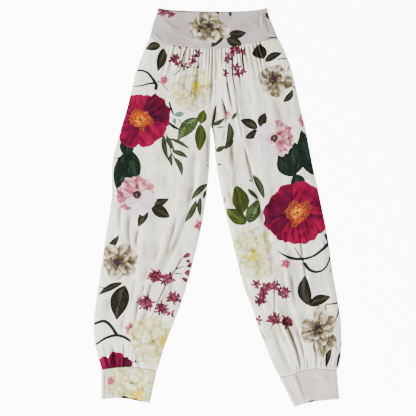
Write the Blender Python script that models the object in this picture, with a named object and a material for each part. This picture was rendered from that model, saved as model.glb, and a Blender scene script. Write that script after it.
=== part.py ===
"""High-waisted joggers in soft jersey, laid flat on their back.

Left and right are the wearer's. +X runs towards the wearer's left leg, +Y towards the waist and +Z up.
The tables give a place as (across, drop): millimetres across from the middle of the garment, and
millimetres below the top corners of the waistband.
"""
import math
from collections import namedtuple

import bmesh
import bpy

MM = 0.001

# ---- Walls and gaps, in millimetres

BACK_LEG_WALL = 1.3
FRONT_LEG_WALL = 1.6        # measured straight up, so a steep gather keeps more than 1 mm
BAND_WALL = 2.0             # waistband and cuffs are folded double
LAYER_GAP = 0.3             # between the front and the back layer
SEAM_GAP = 0.34             # between pieces that are sewn edge to edge

# ---- Outline seen from the front: (across, drop)

WAIST_TOP_FRONT = [(-145.8, 0.0), (-126.2, 7.4), (-91.9, 10.5), (-42.9, 11.8), (18.4, 11.8),
                   (79.6, 8.6), (109.0, 3.7), (121.3, 0.0)]
WAIST_TOP_BACK = [(-145.8, 0.0), (-126.2, 3.8), (-91.9, 6.3), (-42.9, 8.2), (18.4, 9.2),
                  (79.6, 7.0), (109.0, 3.0), (121.3, 0.0)]
WAIST_SEAM = [(-165.4, 68.6), (-153.1, 77.2), (-136.0, 87.0), (-91.9, 94.3), (-47.8, 98.0), (-3.7, 99.7),
              (30.6, 96.8), (69.8, 88.2), (109.0, 80.9), (148.2, 75.2)]
CENTRE_POINT = 5            # the row of WAIST_SEAM where the centre seam starts
WAIST_SIDE_RIGHT = [(-145.8, 0.0), (-148.2, 9.8), (-158.0, 39.2), (-165.4, 68.6)]
WAIST_SIDE_LEFT = [(121.3, 0.0), (127.4, 24.5), (133.5, 39.2), (148.2, 75.2)]

CENTRE_SEAM = [(-3.7, 99.7), (-3.4, 160.0), (-4.4, 212.0), (-7.2, 242.0), (-12.0, 268.0), (-16.3, 290.5)]
SIDE_SEAM_RIGHT = [(-165.4, 68.6), (-177.6, 98.0), (-199.7, 156.8), (-221.7, 245.0), (-238.9, 303.8),
                   (-257.3, 377.3), (-259.7, 465.5), (-275.6, 568.4), (-292.8, 686.0), (-302.6, 759.5),
                   (-302.6, 808.5), (-295.2, 847.7), (-284.2, 885.9)]
SIDE_SEAM_LEFT = [(148.2, 75.2), (160.5, 98.0), (182.5, 156.8), (202.1, 245.0), (216.8, 303.8),
                  (234.0, 392.0), (253.6, 480.2), (270.7, 568.4), (283.0, 656.6), (294.0, 715.4),
                  (302.2, 774.2), (302.6, 833.0), (299.0, 867.0), (291.8, 888.1)]
INSEAM_RIGHT = [(-16.3, 290.5), (-17.6, 312.0), (-17.9, 346.0), (-20.8, 396.9), (-28.2, 465.5),
                (-40.4, 539.0), (-57.6, 612.5), (-77.2, 686.0), (-91.9, 730.1), (-111.5, 781.6),
                (-131.1, 833.0), (-144.6, 877.1), (-149.2, 890.1)]
INSEAM_LEFT = [(-16.3, 290.5), (-11.4, 308.0), (-8.4, 332.0), (-6.2, 362.0), (1.2, 411.6), (13.5, 475.3),
               (28.2, 539.0), (45.3, 612.5), (64.9, 686.0), (82.1, 730.1), (99.2, 781.6), (118.8, 833.0),
               (137.2, 877.1), (150.7, 904.1)]
CROTCH_SHARE = 0.264        # how far down a leg panel the crotch lies

CUFF_SEAM_RIGHT = [(-284.2, 885.9), (-246.2, 880.8), (-207.0, 879.6), (-170.3, 885.2), (-149.2, 890.1)]
CUFF_HEM_RIGHT_FRONT = [(-285.4, 958.9), (-265.8, 951.1), (-226.6, 950.6), (-194.8, 959.2),
                        (-167.1, 967.8)]
CUFF_HEM_RIGHT_BACK = [(-285.4, 959.9), (-256.0, 956.2), (-224.2, 957.5), (-194.8, 963.3),
                       (-166.4, 968.7)]
CUFF_SEAM_LEFT = [(291.8, 888.1), (268.3, 885.2), (241.3, 884.0), (202.1, 890.6), (186.2, 897.9),
                  (170.3, 901.6), (150.7, 904.1)]
CUFF_HEM_LEFT_FRONT = [(297.7, 956.7), (263.4, 958.0), (231.5, 960.4), (207.0, 967.8), (187.4, 977.6)]
CUFF_HEM_LEFT_BACK = [(297.7, 959.2), (263.4, 961.6), (231.5, 966.0), (207.0, 971.7), (187.4, 978.5)]

# ---- Relief of the front layer, in millimetres above its lie on the back layer

EDGE_ROLL = 16.0            # width of the strip that bends down to a side seam or an inseam
SEAM_LIFT = 0.8             # the front leg panel at the waist seam and at the cuff seam
BODY_LIFT = 2.0             # the air under the slack front of a leg
BODY_RISE = 40.0            # distance from a gathered seam to the full lift
BAND_LIFT = 0.6             # the air under the front half of a band
BAND_ROLL = 0.06            # share of a band's width that bends down to its side

Gathers = namedtuple("Gathers", "count start end height fade fan")
WAIST_GATHERS = Gathers(count=28, start=-128.0, end=112.0, height=2.3, fade=85.0, fan=0.0025)
CUFF_GATHERS_RIGHT = Gathers(count=11, start=0.03, end=0.62, height=1.7, fade=55.0, fan=0.0)
CUFF_GATHERS_LEFT = Gathers(count=14, start=0.03, end=0.72, height=1.7, fade=60.0, fan=0.0)
GATHER_DRIFT = [(0.30, 17.0), (0.18, 41.0)]     # uneven spacing: how far, in gathers, and how often
GATHER_VARIETY = (0.26, 29.0)                   # uneven height: how much, and how often
GATHER_ENDS = 0.08          # share of a row over which its gathers die out
GATHER_PINCH = 0.45         # height in the seam itself, as a share of the full height
GATHER_RISE = 12.0          # distance from the seam to the full height
FOLD_ENDS = (0.22, 0.30)    # shares of a fold's length over which it rises and dies out

Fold = namedtuple("Fold", "start middle end width height")
LEG_FOLDS = [
    # wearer's left leg, from the middle outwards and then down
    Fold((10, 112), (24, 200), (36, 275), 9, 3.2),
    Fold((36, 112), (50, 262), (86, 400), 8, 4.2),
    Fold((66, 108), (84, 200), (104, 330), 13, 2.4),
    Fold((124, 225), (140, 290), (163, 360), 14, 2.0),
    Fold((-2, 372), (12, 455), (44, 600), 9, 2.8),
    Fold((24, 318), (36, 440), (66, 560), 10, 2.8),
    Fold((104, 350), (124, 500), (146, 640), 12, 2.4),
    Fold((146, 520), (170, 640), (224, 868), 10, 3.4),
    Fold((104, 690), (146, 800), (178, 880), 8, 2.8),
    Fold((132, 700), (170, 800), (200, 872), 8, 3.0),
    Fold((216, 610), (226, 700), (230, 790), 12, 1.8),
    # wearer's right leg
    Fold((-22, 112), (-24, 170), (-26, 240), 8, 2.8),
    Fold((-52, 112), (-58, 170), (-62, 250), 9, 2.4),
    Fold((-86, 110), (-95, 165), (-102, 230), 10, 2.0),
    Fold((-38, 300), (-42, 400), (-70, 530), 9, 3.0),
    Fold((-70, 330), (-98, 480), (-162, 640), 12, 2.4),
    Fold((-92, 545), (-160, 650), (-192, 790), 9, 3.4),
    Fold((-164, 470), (-192, 620), (-222, 775), 12, 2.4),
    Fold((-218, 450), (-236, 540), (-250, 610), 10, 2.2),
    Fold((-80, 570), (-138, 690), (-172, 840), 10, 2.4),
]
BAND_FOLDS = [
    Fold((-150, 30), (-122, 44), (-88, 70), 9, 1.6),
    Fold((-162, 62), (-152, 70), (-138, 82), 5, 2.0),
    Fold((108, 10), (107, 30), (110, 52), 6, 1.6),
    Fold((132, 38), (110, 54), (68, 74), 8, 1.6),
]
CUFF_FOLDS = [
    Fold((-232, 884), (-248, 915), (-264, 945), 5, 1.4),
    Fold((184, 902), (198, 935), (214, 960), 5, 1.6),
]

# ---- Grid of each kind of panel

Mesh = namedtuple("Mesh", "columns rows top_rows bottom_rows cuts")
FRONT_LEG_MESH = Mesh(columns=24, rows=29, top_rows=5, bottom_rows=4, cuts=2)
BACK_LEG_MESH = Mesh(columns=12, rows=26, top_rows=0, bottom_rows=0, cuts=0)
BAND_FRONT_MESH = Mesh(columns=48, rows=6, top_rows=0, bottom_rows=0, cuts=0)
BAND_BACK_MESH = Mesh(columns=24, rows=3, top_rows=0, bottom_rows=0, cuts=0)
CUFF_FRONT_MESH = Mesh(columns=24, rows=5, top_rows=0, bottom_rows=0, cuts=0)
CUFF_BACK_MESH = Mesh(columns=12, rows=3, top_rows=0, bottom_rows=0, cuts=0)
TOP_ZONE = 0.10             # share of a leg panel that its top rows fill
BOTTOM_ZONE = 0.08          # and its bottom rows

# ---- Materials: base colour and roughness

JERSEY = ((0.76, 0.74, 0.67), 0.85)
BAND_JERSEY = ((0.62, 0.58, 0.57), 0.85)


def blend(a, b, t):
    return a + (b - a) * t


def smooth(t):
    """0 below 0, 1 above 1, and an even bend between."""
    t = min(max(t, 0.0), 1.0)
    return t * t * (3.0 - 2.0 * t)


def lengths_along(points):
    total = [0.0]
    for a, b in zip(points, points[1:]):
        total.append(total[-1] + math.dist(a, b))
    return total


def curve_through(points):
    """A smooth curve through the points: a function of the share of its length, 0 to 1."""
    along = lengths_along(points)
    last = len(points) - 1

    def slope(i, k):
        before, after = max(i - 1, 0), min(i + 1, last)
        return (points[after][k] - points[before][k]) / (along[after] - along[before])

    def place(share):
        s = min(max(share, 0.0), 1.0) * along[-1]
        i = next((n for n in range(last - 1, 0, -1) if s >= along[n]), 0)
        step = along[i + 1] - along[i]
        t = (s - along[i]) / step
        result = []
        for k in (0, 1):
            result.append(
                (2 * t ** 3 - 3 * t ** 2 + 1) * points[i][k] + (t ** 3 - 2 * t ** 2 + t) * step * slope(i, k)
                + (3 * t ** 2 - 2 * t ** 3) * points[i + 1][k] + (t ** 3 - t ** 2) * step * slope(i + 1, k))
        return result

    return place


def joined(upper, lower, share):
    """Two curves end to end, the first filling the given share."""
    return lambda t: upper(t / share) if t <= share else lower((t - share) / (1.0 - share))


def halved(curve, centre):
    """The same curve, read so that its halves meet at the share of it that centre gives."""
    return lambda t: curve(2.0 * centre * t if t < 0.5 else centre + (2.0 * t - 1.0) * (1.0 - centre))


def patch(top, bottom, outer, inner):
    """The plan of a panel between its four edges, as a function of (u, v), both 0 to 1."""
    def place(u, v):
        t, b, o, i = top(u), bottom(u), outer(v), inner(v)
        t0, t1, b0, b1 = top(0), top(1), bottom(0), bottom(1)
        return [blend(t[k], b[k], v) + blend(o[k], i[k], u)
                - blend(blend(t0[k], t1[k], u), blend(b0[k], b1[k], u), v) for k in (0, 1)]
    return place


def gather_wave(gathers, share):
    """Height of a row of uneven gathers, 0 to 1, at a share of the way along the row."""
    if not 0.0 < share < 1.0:
        return 0.0
    phase = share * gathers.count + sum(size * math.sin(share * turns) for size, turns in GATHER_DRIFT)
    strength = 1.0 - GATHER_VARIETY[0] * (1.0 - math.sin(share * GATHER_VARIETY[1]))
    ends = smooth(share / GATHER_ENDS) * smooth((1.0 - share) / GATHER_ENDS)
    return (0.5 - 0.5 * math.cos(2 * math.pi * phase)) * strength * ends


def gather_reach(gathers, distance):
    """How strong the gathers are at a distance from their seam."""
    rise = blend(GATHER_PINCH, 1.0, smooth(distance / GATHER_RISE))
    return rise * math.exp(-(distance / gathers.fade) ** 2)


def fold_height(folds, across, drop):
    """Sum of the soft ridges, each along a bowed line from its start to its end."""
    total = 0.0
    for fold in folds:
        span = [fold.end[k] - fold.start[k] for k in (0, 1)]
        length = math.hypot(*span)
        along = ((across - fold.start[0]) * span[0] + (drop - fold.start[1]) * span[1]) / length ** 2
        if not 0.0 < along < 1.0:
            continue
        side = ((across - fold.start[0]) * span[1] - (drop - fold.start[1]) * span[0]) / length
        bow = ((fold.middle[0] - fold.start[0]) * span[1] - (fold.middle[1] - fold.start[1]) * span[0])
        side -= 4.0 * along * (1.0 - along) * bow / length
        ends = smooth(along / FOLD_ENDS[0]) * smooth((1.0 - along) / FOLD_ENDS[1])
        total += fold.height * ends * math.exp(-(side / fold.width) ** 2)
    return total


def panel_solid(grid, plan, underside, wall, shift=(0.0, 0.0)):
    """A closed panel: a grid laid out by its plan, lifted to its underside, one wall thick."""
    bm = bmesh.new()
    bmesh.ops.create_grid(bm, x_segments=grid.columns, y_segments=grid.rows, size=0.5)
    for vert in bm.verts:
        vert.co.x += 0.5
        vert.co.y += 0.5
    if grid.cuts:
        top, bottom = grid.top_rows / grid.rows, 1.0 - grid.bottom_rows / grid.rows
        slack = 0.25 / grid.rows
        cross = [edge for edge in bm.edges
                 if abs(edge.verts[0].co.y - edge.verts[1].co.y) < slack
                 and (edge.verts[0].co.y < top + slack or edge.verts[0].co.y > bottom - slack)]
        bmesh.ops.subdivide_edges(bm, edges=cross, cuts=grid.cuts, use_grid_fill=True, use_single_edge=True)
    for vert in bm.verts:
        u, v = vert.co.x, row_place(grid, vert.co.y)
        across, drop = plan(u, v)
        vert.co = (across + shift[0], -(drop + shift[1]), underside(u, v, across, drop))
    lifted = bmesh.ops.extrude_face_region(bm, geom=bm.faces[:])
    for item in lifted["geom"]:
        if isinstance(item, bmesh.types.BMVert):
            item.co.z += wall
    bmesh.ops.triangulate(bm, faces=bm.faces[:])
    bmesh.ops.recalc_face_normals(bm, faces=bm.faces[:])
    for vert in bm.verts:
        vert.co *= MM
    return bm


def row_place(grid, share):
    """Rows lie closer together by the gathered seams."""
    top, bottom = grid.top_rows / grid.rows, 1.0 - grid.bottom_rows / grid.rows
    if grid.top_rows and share < top:
        return share / top * TOP_ZONE
    if grid.bottom_rows and share > bottom:
        return 1.0 - (1.0 - share) / (1.0 - bottom) * BOTTOM_ZONE
    if grid.top_rows:
        return TOP_ZONE + (share - top) / (bottom - top) * (1.0 - BOTTOM_ZONE - TOP_ZONE)
    return share


def add_object(name, bm, material):
    mesh = bpy.data.meshes.new(name)
    bm.to_mesh(mesh)
    bm.free()
    mesh.materials.append(material)
    mesh.shade_smooth()
    mesh.set_sharp_from_angle(angle=math.radians(50))
    item = bpy.data.objects.new(name, mesh)
    collection.objects.link(item)
    return item


def add_material(name, finish):
    material = bpy.data.materials.new(name)
    material.use_nodes = True
    shader = material.node_tree.nodes["Principled BSDF"]
    shader.inputs["Base Color"].default_value = (*finish[0], 1.0)
    shader.inputs["Roughness"].default_value = finish[1]
    shader.inputs["Metallic"].default_value = 0.0
    return material


# ---- Seams shared by the pieces

def waist_centre():
    """The share of the waist seam at which the centre seam starts."""
    along = lengths_along(WAIST_SEAM)
    return along[CENTRE_POINT] / along[-1]


def leg_plan(side, side_seam, inseam, cuff_seam):
    """The plan of a leg panel, from its side seam at u = 0 to its centre seam and inseam at u = 1."""
    waist = halved(curve_through(WAIST_SEAM), waist_centre())
    if side == "right":
        top = lambda u: waist(0.5 * u)
    else:
        top = lambda u: waist(1.0 - 0.5 * u)
    inner = joined(curve_through(CENTRE_SEAM), curve_through(inseam), CROTCH_SHARE)
    return patch(top, curve_through(cuff_seam), curve_through(side_seam), inner)


def waist_drop(across):
    """How far down the waist seam lies, at a place across."""
    for (x0, d0), (x1, d1) in zip(WAIST_SEAM, WAIST_SEAM[1:]):
        if across <= x1:
            return blend(d0, d1, max(0.0, (across - x0) / (x1 - x0)))
    return WAIST_SEAM[-1][1]


def front_leg_underside(plan, cuff_gathers):
    """The height of a front leg panel's inner face: pressed at its edges, slack and folded between."""
    lie = BACK_LEG_WALL + LAYER_GAP
    length = SIDE_SEAM_RIGHT[-1][1] - SIDE_SEAM_RIGHT[0][1]

    def height(u, v, across, drop):
        outer, inner = plan(0.0, v), plan(1.0, v)
        width = math.dist(outer, inner)
        above_crotch = max(0.0, CROTCH_SHARE - v) * length
        from_inner = math.hypot((1.0 - u) * width, above_crotch)
        edge = smooth(u * width / EDGE_ROLL) * smooth(from_inner / EDGE_ROLL)
        below_waist = max(0.0, drop - waist_drop(across))
        above_cuff = (1.0 - v) * length
        slack = smooth(below_waist / BODY_RISE) * smooth(above_cuff / BODY_RISE)
        lift = blend(SEAM_LIFT, BODY_LIFT, slack)
        spread = across / (1.0 + WAIST_GATHERS.fan * below_waist)
        row = (spread - WAIST_GATHERS.start) / (WAIST_GATHERS.end - WAIST_GATHERS.start)
        reach = gather_reach(WAIST_GATHERS, below_waist)
        lift += WAIST_GATHERS.height * gather_wave(WAIST_GATHERS, row) * reach
        row = (u - cuff_gathers.start) / (cuff_gathers.end - cuff_gathers.start)
        reach = gather_reach(cuff_gathers, above_cuff)
        lift += cuff_gathers.height * gather_wave(cuff_gathers, row) * reach
        lift += fold_height(LEG_FOLDS, across, drop)
        return lie + edge * lift

    return height


def band_underside(folds):
    """The height of the inner face of a folded band's front half."""
    def height(u, v, across, drop):
        edge = smooth(min(u, 1.0 - u) / BAND_ROLL)
        return BAND_WALL + LAYER_GAP + edge * (BAND_LIFT + fold_height(folds, across, drop))
    return height


def flat(u, v, across, drop):
    """The back layer rests flat on the surface."""
    return 0.0


def build_legs():
    sides = [("right", -1.0, SIDE_SEAM_RIGHT, INSEAM_RIGHT, CUFF_SEAM_RIGHT, CUFF_GATHERS_RIGHT),
             ("left", 1.0, SIDE_SEAM_LEFT, INSEAM_LEFT, CUFF_SEAM_LEFT, CUFF_GATHERS_LEFT)]
    for side, sign, side_seam, inseam, cuff_seam, cuff_gathers in sides:
        plan = leg_plan(side, side_seam, inseam, cuff_seam)
        shift = (sign * SEAM_GAP / 2.0, 0.0)
        front = panel_solid(FRONT_LEG_MESH, plan, front_leg_underside(plan, cuff_gathers),
                            FRONT_LEG_WALL, shift)
        add_object("front_leg_" + side, front, add_material("front_leg_" + side, JERSEY))
        back = panel_solid(BACK_LEG_MESH, plan, flat, BACK_LEG_WALL, shift)
        add_object("back_leg_" + side, back, add_material("back_leg_" + side, JERSEY))


def build_waistband():
    centre = waist_centre()
    seam = halved(curve_through(WAIST_SEAM), centre)
    sides = curve_through(WAIST_SIDE_RIGHT), curve_through(WAIST_SIDE_LEFT)
    shift = (0.0, -SEAM_GAP)
    front = patch(halved(curve_through(WAIST_TOP_FRONT), centre), seam, *sides)
    back = patch(halved(curve_through(WAIST_TOP_BACK), centre), seam, *sides)
    add_object("waistband_front",
               panel_solid(BAND_FRONT_MESH, front, band_underside(BAND_FOLDS), BAND_WALL, shift),
               add_material("waistband_front", BAND_JERSEY))
    add_object("waistband_back", panel_solid(BAND_BACK_MESH, back, flat, BAND_WALL, shift),
               add_material("waistband_back", BAND_JERSEY))


def build_cuffs():
    cuffs = [("right", CUFF_SEAM_RIGHT, CUFF_HEM_RIGHT_FRONT, CUFF_HEM_RIGHT_BACK),
             ("left", CUFF_SEAM_LEFT, CUFF_HEM_LEFT_FRONT, CUFF_HEM_LEFT_BACK)]
    shift = (0.0, SEAM_GAP)
    for side, seam, hem_front, hem_back in cuffs:
        front = ("front", hem_front, band_underside(CUFF_FOLDS), CUFF_FRONT_MESH)
        back = ("back", hem_back, flat, CUFF_BACK_MESH)
        for layer, hem, underside, grid in (front, back):
            outer = curve_through([seam[0], hem[0]])
            inner = curve_through([seam[-1], hem[-1]])
            plan = patch(curve_through(seam), curve_through(hem), outer, inner)
            name = "cuff_" + side + "_" + layer
            add_object(name, panel_solid(grid, plan, underside, BAND_WALL, shift),
                       add_material(name, BAND_JERSEY))


def centre_on_floor():
    """Puts the origin under the middle of the garment, on the surface that it rests on."""
    points = [vert.co for item in collection.objects for vert in item.data.vertices]
    middle = [(min(p[k] for p in points) + max(p[k] for p in points)) / 2.0 for k in (0, 1)]
    for item in collection.objects:
        for vert in item.data.vertices:
            vert.co.x -= middle[0]
            vert.co.y -= middle[1]


for old in list(bpy.data.objects):
    bpy.data.objects.remove(old, do_unlink=True)
collection = bpy.data.collections.new("joggers")
bpy.context.scene.collection.children.link(collection)
build_waistband()
build_legs()
build_cuffs()
centre_on_floor()
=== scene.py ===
import math

import bmesh
import bpy
import numpy as np
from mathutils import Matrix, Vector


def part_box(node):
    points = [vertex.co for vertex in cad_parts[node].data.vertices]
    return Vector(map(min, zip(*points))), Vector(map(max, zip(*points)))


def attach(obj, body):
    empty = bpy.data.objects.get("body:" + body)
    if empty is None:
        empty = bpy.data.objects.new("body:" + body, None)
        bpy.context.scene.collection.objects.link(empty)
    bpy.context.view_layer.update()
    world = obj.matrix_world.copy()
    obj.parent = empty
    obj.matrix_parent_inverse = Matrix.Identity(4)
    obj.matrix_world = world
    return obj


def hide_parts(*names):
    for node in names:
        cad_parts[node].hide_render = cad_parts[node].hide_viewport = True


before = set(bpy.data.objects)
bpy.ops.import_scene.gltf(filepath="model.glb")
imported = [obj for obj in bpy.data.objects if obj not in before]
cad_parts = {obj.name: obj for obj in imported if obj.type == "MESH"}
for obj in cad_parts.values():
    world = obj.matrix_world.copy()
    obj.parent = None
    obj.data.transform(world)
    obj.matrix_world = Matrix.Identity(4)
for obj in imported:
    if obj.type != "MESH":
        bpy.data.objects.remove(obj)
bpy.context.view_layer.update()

millimetre = 0.001

# Places are (across, drop) in millimetres: across from the middle of the garment towards the wearer's
# left, and down from the top corners of the waistband. Heights are millimetres above the surface.

# ---- outline, as the solids have it

outline = {
    "waistTopFront": [
        (-145.8, 0.0), (-126.2, 7.4), (-91.9, 10.5), (-42.9, 11.8), (18.4, 11.8), (79.6, 8.6), (109.0, 3.7),
        (121.3, 0.0),
    ],
    "waistTopBack": [
        (-145.8, 0.0), (-126.2, 3.8), (-91.9, 6.3), (-42.9, 8.2), (18.4, 9.2), (79.6, 7.0), (109.0, 3.0),
        (121.3, 0.0),
    ],
    "waistSeam": [
        (-165.4, 68.6), (-153.1, 77.2), (-136.0, 87.0), (-91.9, 94.3), (-47.8, 98.0), (-3.7, 99.7),
        (30.6, 96.8), (69.8, 88.2), (109.0, 80.9), (148.2, 75.2),
    ],
    "waistSideRight": [
        (-145.8, 0.0), (-148.2, 9.8), (-158.0, 39.2), (-165.4, 68.6),
    ],
    "waistSideLeft": [
        (121.3, 0.0), (127.4, 24.5), (133.5, 39.2), (148.2, 75.2),
    ],
    "centreSeam": [
        (-3.7, 99.7), (-3.4, 160.0), (-4.4, 212.0), (-7.2, 242.0), (-12.0, 268.0), (-16.3, 290.5),
    ],
    "sideRight": [
        (-165.4, 68.6), (-177.6, 98.0), (-199.7, 156.8), (-221.7, 245.0), (-238.9, 303.8), (-257.3, 377.3),
        (-259.7, 465.5), (-275.6, 568.4), (-292.8, 686.0), (-302.6, 759.5), (-302.6, 808.5),
        (-295.2, 847.7), (-284.2, 885.9),
    ],
    "sideLeft": [
        (148.2, 75.2), (160.5, 98.0), (182.5, 156.8), (202.1, 245.0), (216.8, 303.8), (234.0, 392.0),
        (253.6, 480.2), (270.7, 568.4), (283.0, 656.6), (294.0, 715.4), (302.2, 774.2), (302.6, 833.0),
        (299.0, 867.0), (291.8, 888.1),
    ],
    "inseamRight": [
        (-16.3, 290.5), (-17.6, 312.0), (-17.9, 346.0), (-20.8, 396.9), (-28.2, 465.5), (-40.4, 539.0),
        (-57.6, 612.5), (-77.2, 686.0), (-91.9, 730.1), (-111.5, 781.6), (-131.1, 833.0), (-144.6, 877.1),
        (-149.2, 890.1),
    ],
    "inseamLeft": [
        (-16.3, 290.5), (-11.4, 308.0), (-8.4, 332.0), (-6.2, 362.0), (1.2, 411.6), (13.5, 475.3),
        (28.2, 539.0), (45.3, 612.5), (64.9, 686.0), (82.1, 730.1), (99.2, 781.6), (118.8, 833.0),
        (137.2, 877.1), (150.7, 904.1),
    ],
    "cuffSeamRight": [
        (-284.2, 885.9), (-246.2, 880.8), (-207.0, 879.6), (-170.3, 885.2), (-149.2, 890.1),
    ],
    "cuffHemRightFront": [
        (-285.4, 958.9), (-265.8, 951.1), (-226.6, 950.6), (-194.8, 959.2), (-167.1, 967.8),
    ],
    "cuffHemRightBack": [
        (-285.4, 959.9), (-256.0, 956.2), (-224.2, 957.5), (-194.8, 963.3), (-166.4, 968.7),
    ],
    "cuffSeamLeft": [
        (291.8, 888.1), (268.3, 885.2), (241.3, 884.0), (202.1, 890.6), (186.2, 897.9), (170.3, 901.6),
        (150.7, 904.1),
    ],
    "cuffHemLeftFront": [
        (297.7, 956.7), (263.4, 958.0), (231.5, 960.4), (207.0, 967.8), (187.4, 977.6),
    ],
    "cuffHemLeftBack": [
        (297.7, 959.2), (263.4, 961.6), (231.5, 966.0), (207.0, 971.7), (187.4, 978.5),
    ],
    "centrePoint": 5,        # the row of waistSeam where the centre seam starts
    "crotchShare": 0.264,
    "seamGap": 0.34,
}

# where the table's zero point lies in the frame
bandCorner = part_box("waistband_back")
zeroAcross = bandCorner[0].x / millimetre - outline["waistSeam"][0][0]
topY = bandCorner[1].y / millimetre - outline["seamGap"]


def blendTo(a, b, t):
    return a + (b - a) * t


def smooth(t):
    t = np.clip(t, 0.0, 1.0)
    return t * t * (3.0 - 2.0 * t)


def crowd(t, amount):
    # more rows and columns near both ends
    return t - amount * np.sin(2 * math.pi * t) / (2 * math.pi)


def lengthsAlong(points):
    return np.concatenate([[0.0], np.cumsum(np.hypot(*np.diff(points, axis=0).T))])


def curveThrough(edge):
    # a smooth curve through a named edge of the outline, or a list of points, read by its share of length
    points = np.array(outline[edge] if isinstance(edge, str) else edge, float)
    last = len(points) - 1
    along = lengthsAlong(points)
    before = np.maximum(np.arange(last + 1) - 1, 0)
    after = np.minimum(np.arange(last + 1) + 1, last)
    slope = (points[after] - points[before]) / (along[after] - along[before])[:, None]

    def place(share):
        s = np.clip(np.asarray(share, float), 0.0, 1.0) * along[-1]
        i = np.clip(np.searchsorted(along, s, side="right") - 1, 0, last - 1)
        step = along[i + 1] - along[i]
        t = ((s - along[i]) / step)[..., None]
        step = step[..., None]
        return ((2 * t ** 3 - 3 * t ** 2 + 1) * points[i] + (t ** 3 - 2 * t ** 2 + t) * step * slope[i]
                + (3 * t ** 2 - 2 * t ** 3) * points[i + 1] + (t ** 3 - t ** 2) * step * slope[i + 1])
    return place


def joined(upper, lower, share):
    def place(t):
        t = np.asarray(t, float)
        first = (t <= share)[..., None]
        return np.where(first, upper(t / share), lower((t - share) / (1.0 - share)))
    return place


def halved(curve):
    # read so that the centre seam falls at one half
    along = lengthsAlong(np.array(outline["waistSeam"]))
    centre = along[outline["centrePoint"]] / along[-1]

    def place(t):
        t = np.asarray(t)
        return curve(np.where(t < 0.5, 2.0 * centre * t, centre + (2.0 * t - 1.0) * (1.0 - centre)))
    return place


def patch(top, bottom, outer, inner):
    # the plan of a panel between its four edges
    def place(u, v):
        t, b, o, i = top(u), bottom(u), outer(v), inner(v)
        t0, t1, b0, b1 = top(0.0), top(1.0), bottom(0.0), bottom(1.0)
        across, down = u[:, None], v[:, None]
        return (blendTo(t, b, down) + blendTo(o, i, across)
                - blendTo(blendTo(t0, t1, across), blendTo(b0, b1, across), down))
    return place


def spanOf(plan, v):
    # a panel's width along each row
    outer, inner = plan(np.zeros_like(v), v), plan(np.ones_like(v), v)
    return np.hypot(*(outer - inner).T)


def hashed(i, j, seed):
    n = np.sin(i * 127.1 + j * 311.7 + seed * 74.7) * 43758.5453
    return n - np.floor(n)


def softNoise(x, y, seed=0.0):
    # even value noise, 0 to 1, one bump a unit
    i, j = np.floor(x), np.floor(y)
    fx, fy = smooth(x - i), smooth(y - j)
    low = blendTo(hashed(i, j, seed), hashed(i + 1, j, seed), fx)
    high = blendTo(hashed(i, j + 1, seed), hashed(i + 1, j + 1, seed), fx)
    return blendTo(low, high, fy)


# ---- relief of the cloth

relief = {
    "backWall": 1.3, "frontWall": 1.6, "bandWall": 2.0, "layerGap": 0.3,
    "edgeRoll": 16.0, "seamLift": 0.8, "bodyLift": 2.0, "bodyRise": 40.0,
    "seamRound": 2.6,        # the cloth dips into a sewn seam within this
    "seamDip": 0.9,
    "ripple": 0.9, "rippleSize": (26.0, 95.0),       # slack undulation, across and down
    "crumple": 0.38, "crumpleSize": (8.0, 24.0),     # its finer grade
    "rippleTilt": 0.25,
    "creaseGain": 1.25,
    "creaseWiden": 1.3,
    "gatherGain": 1.35,
    "lowest": -0.6,          # no crease cuts deeper than this below the flat cloth
    "hollow": 1.3,           # depth at which a narrow hollow takes the full painted shade, and a broad one
    "broadHollow": 4.0,
    "closeBlur": (5, 2),     # how many points across and down a hollow is set against
    "broadBlur": (13, 5),
    # painted shade: how much lower the legs' rolled edges count when their hollows' shade is measured
    "edgeShade": 0.5,
    "backRelief": 0.9,       # gathers pressed flat under the garment
    "pressedLift": 5.0,      # a fold this high in front is pressed as far as any behind
    "clear": 0.12,           # the underside stands clear of the surface by this
}
far = 99.0                   # a distance that reaches no edge
waistGathers = {
    "count": 28, "start": -128.0, "end": 112.0, "height": 2.3, "fade": 85.0, "fan": 0.0025, "jog": 0.7,
    "fine": {"height": 0.6, "times": 2.3, "fade": 30.0},
}
cuffFine = {"height": 0.4, "times": 2.2, "fade": 24.0}
cuffGathers = {
    "right": {"count": 11, "start": 0.03, "end": 0.62, "height": 1.7, "fade": 55.0, "jog": 0.6,
              "fine": cuffFine},
    "left": {"count": 14, "start": 0.03, "end": 0.72, "height": 1.7, "fade": 60.0, "jog": 0.6,
             "fine": cuffFine},
}
# how unevenly gathers are spaced and how their height varies: amount and turns along the seam
unevenGathers = {"drift": (0.30, 17.0), "jitter": (0.18, 41.0), "swell": (0.26, 29.0), "taper": 0.08}
gatherForm = {
    "sharp": 0.6,            # how much of a ridge is narrow, the rest being round
    "atSeam": 0.45,          # its height at the seam, as a share of its full height
    "fullAt": 12.0,          # how far from the seam it is at its full height
}
# fine creases that run out of a gathered seam
waistTucks = {"count": 34, "long": (36.0, 120.0), "width": 1.7, "depth": (0.5, 1.3), "seed": 4}
cuffTucks = {"count": 13, "long": (26.0, 62.0), "width": 1.5, "depth": (0.4, 1.1), "seed": 8, "lean": 0.1}
tuckSway = {"place": 0.7, "lean": 5.0, "bend": 3.0, "start": 0.25, "middle": 0.4}

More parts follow.
